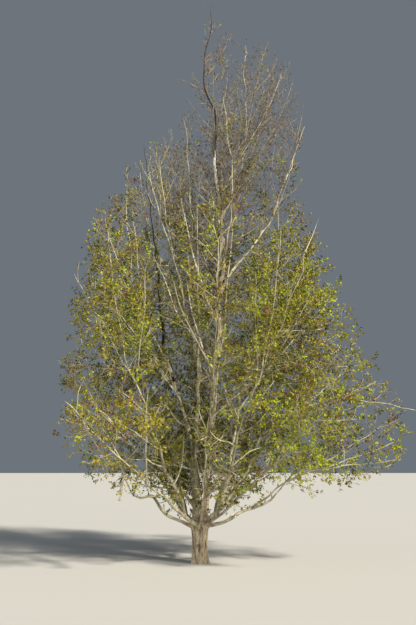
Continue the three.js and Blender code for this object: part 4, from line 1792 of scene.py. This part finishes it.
@dataclass(frozen=True)
class LeafPlan:
    """Where the crown carries leaves, and where each tint is at home."""

    bare_from: float = 8.4
    fade_over: float = 3
    least_fade: float = 0.1
    chances: Range = (0.1, 0.9)
    most: float = 0.9
    high_spurs: float = 0.6
    high_from: float = 6
    patch: float = 0.9
    patch_swing: float = 3
    patch_seed: float = 11.3
    rust_high: tuple[float, float, float] = (5, 4, 0.5)
    # Painted shade: more of the dark moss tint inside the crown, with the reach from the trunk's axis
    # and how much more.
    painted_shade_moss: Range = (1.8, 0.6)

    CLUMPS = (Spot(0.3, 1.45, 0.4, 0.85), Spot(-2.0, 2.5, 0.7, 0.6), Spot(0.2, 3.3, 0.6, 0.4),
              Spot(-0.6, 5.2, 0.7, 0.4), Spot(2.7, 2.3, 0.6, 0.4), Spot(-0.3, 6.6, 0.9, 0.5))
    SHARES = {Tint.OLIVE: 0.36, Tint.LIME: 0.21, Tint.MOSS: 0.22, Tint.OCHRE: 0.10, Tint.RUST: 0.045}
    # Where the ochre, lime and rust tints gather. The lime home on the lower right is painted light; the
    # ochre and the rust are the leaves' own colours.
    HOMES = {Tint.OCHRE: Spot(-0.9, 2.1, 0.6, 0.6), Tint.LIME: Spot(1.5, 1.75, 0.6, 1.8),
             Tint.RUST: Spot(-1.0, 6.7, 0.6, 1.2)}

    def chance(self, points: Array, leafy: Array, on_spurs: bool) -> Array:
        """The chance that each sprig carries leaves, which is smaller in the bare clumps.

        Args:
            points: Where the sprigs are.
            leafy: How leafy their masses are.
            on_spurs: Whether they are spurs, which keep some leaves high up.

        Returns:
            The chances.
        """
        base, more = self.chances
        fade = np.clip((self.bare_from - points[:, 2]) / self.fade_over, self.least_fade, 1)
        chance = np.clip(base + more * leafy * fade, 0, self.most)
        if on_spurs:
            chance = np.maximum(chance, self.high_spurs * ramp(points[:, 2], self.high_from, 1))
        for clump in self.CLUMPS:
            chance = chance * (1 - clump.at(points))
        return chance

    def weights(self, points: Array) -> Array:
        """How likely each tint is.

        Args:
            points: The points.

        Returns:
            The weights at each point, in the order of the tints.
        """
        x, y, z = points.T
        weights = {}
        for number, (tint, share) in enumerate(self.SHARES.items(), 1):
            swing = patches(points, self.patch, self.patch_seed * number)
            weights[tint] = share * np.exp(self.patch_swing * swing)
        # Painted light where the lime gathers on the lower right; the leaves' own colour where the ochre
        # and the rust gather.
        for tint, home in self.HOMES.items():
            weights[tint] += home.at(points)
        start, over, most = self.rust_high
        weights[Tint.RUST] += np.clip((z - start) / over, 0, most)
        # Painted shade: more of the dark moss tint near the trunk's axis, inside the crown.
        reach, more = self.painted_shade_moss
        weights[Tint.MOSS] += more * np.clip(1 - np.hypot(x, y) / reach, 0, 1)
        return np.stack([weights[tint] for tint in Tint], axis=1)


@dataclass(frozen=True)
class Thinning:
    """How many sprigs stay: fewer in gaps between clumps, at the top, and in a window on the front."""

    clump: float = 0.75
    seed: float = 3.7
    usual: float = 0.86
    swing: float = 1.2
    limits: Range = (0.3, 1)
    bare_from: float = 7.5
    bare_share: float = 0.6
    window_half: float = 0.75
    window_front: float = -0.2
    window_heights: Range = (2, 4.2)
    window_share: float = 0.7

    def share(self, points: Array) -> Array:
        """The chance that a sprig stays.

        Args:
            points: Where the sprigs are.

        Returns:
            The chances.
        """
        x, y, z = points.T
        low, high = self.window_heights
        kept = np.clip(self.usual + self.swing * patches(points, self.clump, self.seed), *self.limits)
        kept = kept * blend(1, self.bare_share, ramp(z, self.bare_from, 1))
        window = (np.abs(x) < self.window_half) & (y < self.window_front) & (z > low) & (z < high)
        return np.where(window, self.window_share * kept, kept)


@dataclass(frozen=True)
class Veil:
    """How the leaves and twigs part before the limbs that show bare in the photograph."""

    strength: float = 0.9
    width: float = 0.12
    reach: Range = (1.0, 2.0)
    far: float = 0.72
    places: int = 40

    # The limbs, and the stems of masses, that show, with the height from which they do.
    LIMBS = {"leader": 2.2, "pale": 1.35, "middle": 1.8, "right_stem": 1.6, "right_fork": 1.5,
             "dark": 1.5, "left_high": 1.5, "left_stem": 1.5, "right_high": 1.5}
    STEMS = {"leader": 1.5, "dark": 1.5, "middle": 1.5}

    def screened(self, points: Array, wood: Wood) -> Array:
        """How much each point, from 0 to 1, stands before a limb that shows.

        Args:
            points: The points.
            wood: The limbs and stems.

        Returns:
            How much each does.
        """
        eye = np.array(Studio.camera_at)
        lines = []
        for limbs, shown in ((wood.lines, self.LIMBS), (wood.stems, self.STEMS)):
            for name, height in shown.items():
                course = limbs[name].smoothed(self.places).points
                lines.append(course[course[:, 2] > height])
        line = np.vstack(lines)
        seen = (line - eye)[:, [0, 2]] / (line - eye)[:, 1:2]
        depth = points[:, 1:2] - eye[1]
        here = (points - eye)[:, [0, 2]] / depth
        screened = np.zeros(len(points))
        for part in chunks(np.arange(len(points))):
            apart = np.linalg.norm(here[part, None] - seen, axis=2) * depth[part]
            before = line[:, 1] - points[part, 1:2]
            hold = np.where(before > 0, np.interp(before, self.reach, (1, self.far)), 0)
            screened[part] = (hold * np.exp(-((apart / self.width) ** 2))).max(axis=1)
        return screened


@dataclass(frozen=True)
class Tuft:
    """Leaves on each twig of a kind: how many, how far apart, and how the first and the others lean."""

    counts: tuple[int, int]
    spacing: Range
    leans: Range
    lean_stray: float = 14
    lowest: float = 0.05


@dataclass(frozen=True)
class HawPlan:
    """The dark haws: on how many spurs they hang, more of them high up, and how large they are."""

    chances: Range = (0.01, 0.05)
    high_from: float = 5
    high_over: float = 2
    counts: tuple[int, int] = (1, 4)
    spread: float = 0.009
    hang: float = 0.008
    radius: float = 0.0065
    variety: Range = (0.8, 1.2)
    stretch: Place = (1, 1, 1.15)


@dataclass
class Crown:
    """All twigs from the stems of the masses outwards, the leaves on them and the fruit."""

    skeleton: Skeleton
    wood: Wood
    unrest: Unrest
    seed: int = 4711
    bough_places: int = 40
    skirt: Range = (1.0, 1.3)
    skirt_reach: Range = (0.5, 1.1)
    low: Range = (0.86, 2.2)
    arm: TwigOrder = TwigOrder(
        every=0.36, shares=(0.18, 0.98), lean=(70, 40), run=(0.5, 0.3), limits=(0.45, 1.25), upward=0.04,
        unrest=0.2, parent_share=0.6, foot=0.017, tip=0.005, places=9, climb=0.1, high_lean=0.65)
    side_twig: TwigOrder = TwigOrder(
        every=0.19, shares=(0.12, 1), lean=(70, 44), run=(0.42, 0.26), limits=(0.26, 0.8), upward=0.06,
        unrest=0.16, parent_share=0.55, foot=0.011, tip=0.0042, places=6, climb=0.1, high_lean=0.7)
    low_twig: TwigOrder = TwigOrder(
        every=0.085, shares=(0.08, 0.8), lean=(80, 60), run=(0.12, 0.12), limits=(0.1, 0.36),
        upward=0.07, unrest=0.22, parent_share=0.4, foot=0.006, tip=0.003, places=6)
    branch: TwigOrder = TwigOrder(
        every=0.088, shares=(0.1, 0.97), lean=(64, 34), run=(0.5, 0.28), limits=(0.1, 0.4), upward=0.04,
        unrest=0.2, parent_share=0.7, foot=0.0068, tip=0.003, places=4, climb=0.08, high_lean=0.8)
    shoot: TwigOrder = TwigOrder(
        every=0.052, shares=(0.12, 1), lean=(58, 30), run=(0.55, 0.4), limits=(0.05, 0.17), upward=0.03,
        unrest=0.2, parent_share=0.75, foot=0.004, tip=0.002, places=2, climb=0.05)
    spur: TwigOrder = TwigOrder(
        every=0.115, shares=(0.06, 0.98), lean=(80, 56), run=(0.1, 0.1), limits=(0.018, 0.045), upward=0,
        unrest=0, parent_share=0.8, foot=0.0046, tip=0.0034, places=2)
    spurred_from: float = 6.5
    spurred_every: float = 0.045
    room_to_spare: float = 0.035
    source_room: float = 0.008
    thinning: Thinning = Thinning()
    veil: Veil = Veil()
    leaf_plan: LeafPlan = LeafPlan()
    leaf_length: Range = (0.031, 0.051)
    leaf_small: tuple[float, float, float] = (5.8, 2.2, 0.55)
    leaf_facing: Range = (0.8, 0.55)
    on_shoots: Tuft = Tuft(counts=(3, 6), spacing=(0.13, 0.24), leans=(15, 60))
    on_spurs: Tuft = Tuft(counts=(2, 4), spacing=(0, 0.1), leans=(30, 58))
    haw: HawPlan = HawPlan()
    orders: dict[str, Sprigs] = field(default_factory=dict)

    # The numbers of the materials of each piece of twigs.
    BOUGH, TWIG, BLEACHED, DARK = range(4)

    # The orders of twigs, from the thickest to the finest, with how many flat sides each has.
    SIDES = {"stems": 8, "arms": 6, "firsts": 4, "branches": 3, "shoots": 3, "spurs": 3}

    def __post_init__(self) -> None:
        """Sets up the room and the stream of random numbers."""
        self.room = Room(self.skeleton)
        self.rng = np.random.default_rng(self.seed)
        self.names = list(self.skeleton.stems)

    def grow(self) -> None:
        """Grows every order of twigs."""
        numbers = list(range(len(self.names)))
        stems = Sprigs.of([self.wood.stems[name] for name in self.names], numbers, self.wood.stem_places)
        boughs = Sprigs.of([self.wood.lines[name] for name in self.names], numbers, self.bough_places)
        spread = np.array([BOUGHS[name].mass.spread for name in self.names])
        arms = self.whips().joined(self.skirted(self.grown(self.arm, boughs)),
                                   self.grown(self.arm, stems, spread))
        firsts = self.source_twigs().joined(self.skirted(self.grown(self.side_twig, boughs)),
                                            self.grown(self.side_twig, stems, spread),
                                            self.skirted(self.grown(self.side_twig, arms)))
        firsts = self.unveiled(firsts).joined(self.low_twigs(boughs))
        branches = self.thinned(self.grown(self.branch, firsts))
        branches.tint = self.deal_tints(branches, False)
        shoots = self.grown(self.shoot, branches)
        high = arms.pick(arms.points[:, 0, 2] > self.spurred_from)
        dense = replace(self.spur, every=self.spurred_every)
        spurs = self.grown(self.spur, firsts).joined(self.grown(self.spur, branches),
                                                     self.grown(dense, high))
        spurs.tint = np.where(spurs.tint < 0, self.deal_tints(spurs, True), spurs.tint)
        for order, sprigs in zip(self.SIDES, (stems, arms, firsts, branches, shoots, spurs)):
            self.orders[order] = sprigs
            log.info("%d %s", len(sprigs.mass), order)

    def grown(self, order: TwigOrder, parents: Sprigs, most: Array | None = None) -> Sprigs:
        """One order of twigs on its parents, cut to the crown's room."""
        return order.grow(parents, self.rng, most).cut_to(self.room, self.room_to_spare)

    def skirted(self, sprigs: Sprigs) -> Sprigs:
        """Keeps sprigs above the crown's lower edge, which is lower near the trunk.

        Args:
            sprigs: The sprigs.

        Returns:
            Those that stay.
        """
        foot = sprigs.points[:, 0]
        near, far = self.skirt_reach
        share = ramp(np.hypot(foot[:, 0], foot[:, 1]), near, far - near)
        return sprigs.pick(foot[:, 2] > blend(*self.skirt, share))

    def low_twigs(self, boughs: Sprigs) -> Sprigs:
        """Grows small twigs near the trunk, but not on the two lowest boughs.

        Args:
            boughs: The boughs.

        Returns:
            The twigs.
        """
        bare = [self.names.index(name) for name in ("low_left", "low_right")]
        made = self.grown(self.low_twig, boughs.pick(~np.isin(boughs.mass, bare)))
        foot = made.points[:, 0]
        low, high = self.low
        inside = (foot[:, 2] > low) & (foot[:, 2] < high)
        return made.pick(inside & (np.hypot(foot[:, 0], foot[:, 1]) < self.skirt_reach[1]))

    def whips(self) -> Sprigs:
        """Grows the long shoots that have a place of their own.

        Returns:
            The shoots.
        """
        t = np.linspace(0, 1, self.arm.places)[:, None]
        made = []
        for whip in WHIPS:
            carrier = (self.wood.stems if whip.on_stem else self.wood.lines)[whip.parent]
            foot, radius, _ = carrier.at(whip.share)
            moved = self.unrest.move(whip.course(foot, t))
            moved -= (1 - t) * (moved[0] - foot)
            thick = min(whip.foot, Whip.FOOT_SHARE * radius)
            made.append(Limb(moved, np.linspace(thick, self.arm.tip, self.arm.places)))
        owners = [self.names.index(whip.parent) for whip in WHIPS]
        sprigs = Sprigs.of(made, owners, self.arm.places)
        sprigs.tint[[whip.dead for whip in WHIPS]] = DEAD
        return sprigs

    def thinned(self, sprigs: Sprigs) -> Sprigs:
        """The sprigs without some, to open up the crown."""
        kept = self.thinning.share(sprigs.points.mean(axis=1))
        return self.unveiled(sprigs.pick(self.rng.random(len(kept)) < kept))

    def unveiled(self, sprigs: Sprigs) -> Sprigs:
        """The sprigs without most of those that stand before a limb that shows."""
        kept = 1 - self.veil.strength * self.veil.screened(sprigs.points.mean(axis=1), self.wood)
        return sprigs.pick(self.rng.random(len(kept)) < kept)

    def source_twigs(self) -> Sprigs:
        """Takes over the twigs that the solids show too.

        Returns:
            The twigs.
        """
        kept, owners = [], []
        for number, name in enumerate(self.names):
            for twig in self.skeleton.twigs[name]:
                trimmed = self.room.trimmed(twig, number, self.source_room)
                if trimmed:
                    kept.append(trimmed)
                    owners.append(number)
        return Sprigs.of(kept, owners, self.side_twig.places).moved(self.unrest)

    def deal_tints(self, sprigs: Sprigs, on_spurs: bool) -> Array:
        """The tint of each sprig's leaves, or BARE where it has none.

        Args:
            sprigs: The sprigs.
            on_spurs: Whether they are spurs.

        Returns:
            The tints.
        """
        middle = sprigs.points.mean(axis=1)
        leafy = np.array([BOUGHS[name].mass.leafy for name in self.names])[sprigs.mass]
        chance = self.leaf_plan.chance(middle, leafy, on_spurs)
        weights = self.leaf_plan.weights(middle)
        draw = self.rng.random(len(middle))[:, None] * weights.sum(axis=1, keepdims=True)
        tint = np.minimum((np.cumsum(weights, axis=1) < draw).sum(axis=1), len(Tint) - 1)
        return np.where(self.rng.random(len(middle)) > chance, BARE, tint)

    def build(self) -> None:
        """Builds the twigs of each side of the crown, the leaves of each tint, and the fruit."""
        for side in Side:
            self.build_twigs(side)
        self.build_leaves()
        self.build_fruit()

    def stem_finish(self, points: Array, faces: Array, sprigs: Sprigs) -> Array:
        """Deals out the stems' materials, bleached and then dark on the leader.

        Args:
            points: Vertices of the stems.
            faces: Their triangles.
            sprigs: The stems.

        Returns:
            Number of the material of each triangle.
        """
        owner = sprigs.mass[faces[:, 0] // (len(points) // len(sprigs.mass))]
        leading, dark = (owner == self.names.index(name) for name in ("leader", "dark"))
        high = points[faces].mean(axis=1)[:, 2] > self.wood.bleached[1]
        return np.where(dark | (leading & high), self.DARK, np.where(leading, self.BLEACHED, self.BOUGH))

    def build_twigs(self, side: Side) -> None:
        """Builds the stems and twigs of one side.

        Args:
            side: The side.
        """
        top = side is Side.TOP
        numbers = [self.names.index(name) for name in side.value]
        heap = Heap()
        for order, sides in self.SIDES.items():
            own = self.orders[order].of_masses(numbers)
            points, faces = sweep(own.points, own.radii, sides, True)
            finish = self.TWIG
            if order == "stems":
                finish = self.stem_finish(points, faces, own)
            elif order == "arms":
                each = np.where(own.tint == DEAD, self.BLEACHED, self.TWIG if top else self.BOUGH)
                finish = np.repeat(each, len(faces) // len(own.mass))
            heap.add(points, faces, finish)
        twig = Skin.TOP_TWIG if top else Skin.TWIG
        skins = [self.wood.skins[skin] for skin in (Skin.BOUGH, twig, Skin.BLEACHED, Skin.DARK)]
        piece = heap.build(f"twigs_{side.name.lower()}", skins, False)
        assign(piece, [f"{name}_mass" for name in side.value])

    def tufts(self, sprigs: Sprigs, tuft: Tuft) -> tuple[Array, Array, Array, Array, Array]:
        """Leaves on the sprigs that carry them.

        Args:
            sprigs: The sprigs.
            tuft: How the leaves sit on each.

        Returns:
            The feet, the ways, the facings, the lengths and the tints of the leaves.
        """
        leafy = sprigs.pick(sprigs.tint >= 0)
        counts = self.rng.integers(*tuft.counts, len(leafy.tint))
        which, number = dealt(counts)
        share = 1 - number * self.rng.uniform(*tuft.spacing, len(which))
        point, _, way = leafy.at(which, np.clip(share, tuft.lowest, 1))
        spin = GOLDEN_TURN * number + self.rng.uniform(0, 360, len(counts))[which]
        stray = self.rng.uniform(-tuft.lean_stray, tuft.lean_stray, len(which))
        way = leaned(way, np.where(number == 0, *tuft.leans) + stray, spin)
        start, over, least = self.leaf_small
        small = blend(1, least, ramp(point[:, 2], start, over))
        length = self.rng.uniform(*self.leaf_length, len(which)) * small
        skyward, flutter = self.leaf_facing
        facing = unit(UP * skyward + self.rng.normal(0, flutter, way.shape))
        return point, way, facing, length, leafy.tint[which]

    def build_leaves(self) -> None:
        """Builds the leaves of each tint on the shoots and spurs that carry them."""
        on_shoots = self.tufts(self.orders["shoots"], self.on_shoots)
        on_spurs = self.tufts(self.orders["spurs"], self.on_spurs)
        point, way, facing, length, tints = (np.concatenate(pair) for pair in zip(on_shoots, on_spurs))
        for number, tint in enumerate(Tint):
            own = tints == number
            vertices, faces = leaf_blades(point[own], way[own], facing[own], length[own])
            heap = Heap()
            heap.add(vertices, faces)
            piece = heap.build(f"leaves_{tint.name.lower()}", [tint.value.material()], False)
            assign(piece, [])

    def build_fruit(self) -> None:
        """Builds the dark haws that hang on some of the spurs."""
        haw = self.haw
        base, more = haw.chances
        ends = self.orders["spurs"].points[:, -1]
        chance = base + more * ramp(ends[:, 2], haw.high_from, haw.high_over)
        bearing = ends[self.rng.random(len(ends)) < chance]
        counts = self.rng.integers(*haw.counts, len(bearing))
        centres = np.repeat(bearing, counts, axis=0)
        centres = centres + self.rng.normal(0, haw.spread, centres.shape) - haw.hang * UP
        radii = haw.radius * self.rng.uniform(*haw.variety, len(centres))
        corners, triangles = ball()
        vertices = centres[:, None] + radii[:, None, None] * corners * np.array(haw.stretch)
        faces = triangles[None] + (np.arange(len(centres)) * len(corners))[:, None, None]
        heap = Heap()
        heap.add(vertices.reshape(-1, 3), faces.reshape(-1, 3))
        assign(heap.build("haws", [HAW_SKIN.material()], True), [])


def ball() -> tuple[Array, Array]:
    """Makes an icosahedron with a radius of one.

    Returns:
        Its corners and triangles.
    """
    golden = (1 + math.sqrt(5)) / 2
    corners = []
    for a in (-1, 1):
        for b in (-golden, golden):
            corners += [(0, a, b), (a, b, 0), (b, 0, a)]
    corners = unit(np.array(corners, float))
    shape = bmesh.new()
    for corner in corners:
        shape.verts.new(corner)
    bmesh.ops.convex_hull(shape, input=shape.verts[:])
    shape.verts.index_update()
    triangles = np.array([[vertex.index for vertex in face.verts] for face in shape.faces])
    shape.free()
    return corners, triangles


# Half the outline of a lobed leaf from its foot to its tip, as shares of its length.
LEAF_EDGE = ((0.0, 0.0), (0.34, 0.37), (0.53, 0.2), (0.79, 0.27), (1.0, 0.0))
LEAF_FOLD = 0.25
LEAF_DROOP = 0.1


def leaf_blades(points: Array, ways: Array, facing: Array, lengths: Array) -> tuple[Array, Array]:
    """Lobed leaves that fold a little along their rib.

    Args:
        points: The foot of each.
        ways: The direction of its rib.
        facing: The direction that its face turns to.
        lengths: Its length.

    Returns:
        The vertices and the triangles.
    """
    side = unit(np.cross(facing, ways))
    lift = np.cross(ways, side)
    edge = [*LEAF_EDGE, *((x, -y) for x, y in reversed(LEAF_EDGE[1:-1]))]
    x, y = np.array(edge).T
    z = LEAF_FOLD * np.abs(y) - LEAF_DROOP * x**2
    local = (x[:, None] * ways[:, None] + y[:, None] * side[:, None] + z[:, None] * lift[:, None])
    vertices = points[:, None] + lengths[:, None, None] * local
    last = np.arange(2, len(edge))
    one = np.stack([np.zeros_like(last), last, last - 1], 1)
    faces = one[None] + (np.arange(len(points)) * len(edge))[:, None, None]
    return vertices.reshape(-1, 3), faces.reshape(-1, 3)


@dataclass(frozen=True)
class Sun:
    """A light from far away: the direction in which it shines, its strength, width and colour."""

    name: str
    direction: Place
    strength: float
    width: float
    colour: str


@dataclass(frozen=True)
class Studio:
    """A pale floor, soft light from the upper right and the camera of the photograph."""

    image: tuple[int, int] = (416, 625)
    focal_pixels: float = 700
    camera_at: Place = (0.134, -12.27, 1.55)
    pitch: float = 12.5
    sensor: float = 36
    floor: float = 400
    floor_colour: str = "bdbdba"
    floor_roughness: float = 0.9
    surroundings: str = "6d747c"
    suns: tuple[Sun, ...] = (
        Sun("key", (-0.62, 0.6, -0.62), strength=6.6, width=5, colour="fff6e6"),
        Sun("front", (-0.35, 0.95, -0.16), strength=0.6, width=40, colour="fff8ee"),
        Sun("fill", (0.7, 0.5, -0.35), strength=0.25, width=60, colour="eef3ff"),
    )

    def build(self) -> None:
        """Builds the camera, the floor and the lights."""
        self.camera()
        self.ground()
        self.lights()
        bpy.context.scene.view_settings.view_transform = "Standard"

    def camera(self) -> None:
        """Places the camera."""
        data = bpy.data.cameras.new("camera")
        data.sensor_width = self.sensor
        data.lens = self.sensor * self.focal_pixels / max(self.image)
        camera = bpy.data.objects.new("camera", data)
        camera.location = self.camera_at
        camera.rotation_euler = (math.radians(90 + self.pitch), 0, 0)
        bpy.context.scene.collection.objects.link(camera)
        bpy.context.scene.camera = camera

    def ground(self) -> None:
        """Lays the floor."""
        mesh = bpy.data.meshes.new("floor")
        half = self.floor / 2
        corners = [(-half, -half, 0), (half, -half, 0), (half, half, 0), (-half, half, 0)]
        mesh.from_pydata(corners, [], [(0, 1, 2, 3)])
        board = Board("floor_pale")
        finish = board.finish(Base_Color=srgb(self.floor_colour), Roughness=self.floor_roughness)
        mesh.materials.append(finish)
        floor = bpy.data.objects.new("floor", mesh)
        bpy.context.scene.collection.objects.link(floor)

    def lights(self) -> None:
        """Sets the plain surroundings, a broad light from the upper right and two weak ones."""
        world = bpy.data.worlds.new("pale_room")
        world.use_nodes = True
        back = world.node_tree.nodes["Background"]
        back.inputs["Color"].default_value = (*srgb(self.surroundings), 1)
        bpy.context.scene.world = world
        for sun in self.suns:
            data = bpy.data.lights.new(sun.name, "SUN")
            data.energy = sun.strength
            data.angle = math.radians(sun.width)
            data.color = srgb(sun.colour)
            light = bpy.data.objects.new(sun.name, data)
            light.rotation_euler = Vector(sun.direction).to_track_quat("-Z", "Y").to_euler()
            bpy.context.scene.collection.objects.link(light)


def main() -> None:
    """Builds the studio, the wood and the crown in order."""
    logging.basicConfig(level=logging.INFO, format="%(name)s %(message)s")
    Studio().build()
    skeleton = Skeleton()
    skeleton.grow()
    unrest = Unrest()
    wood = Wood(skeleton, unrest, {skin: skin.value.material() for skin in Skin})
    wood.build()
    crown = Crown(skeleton, wood, unrest)
    crown.grow()
    crown.build()


if __name__ == "__main__":
    main()
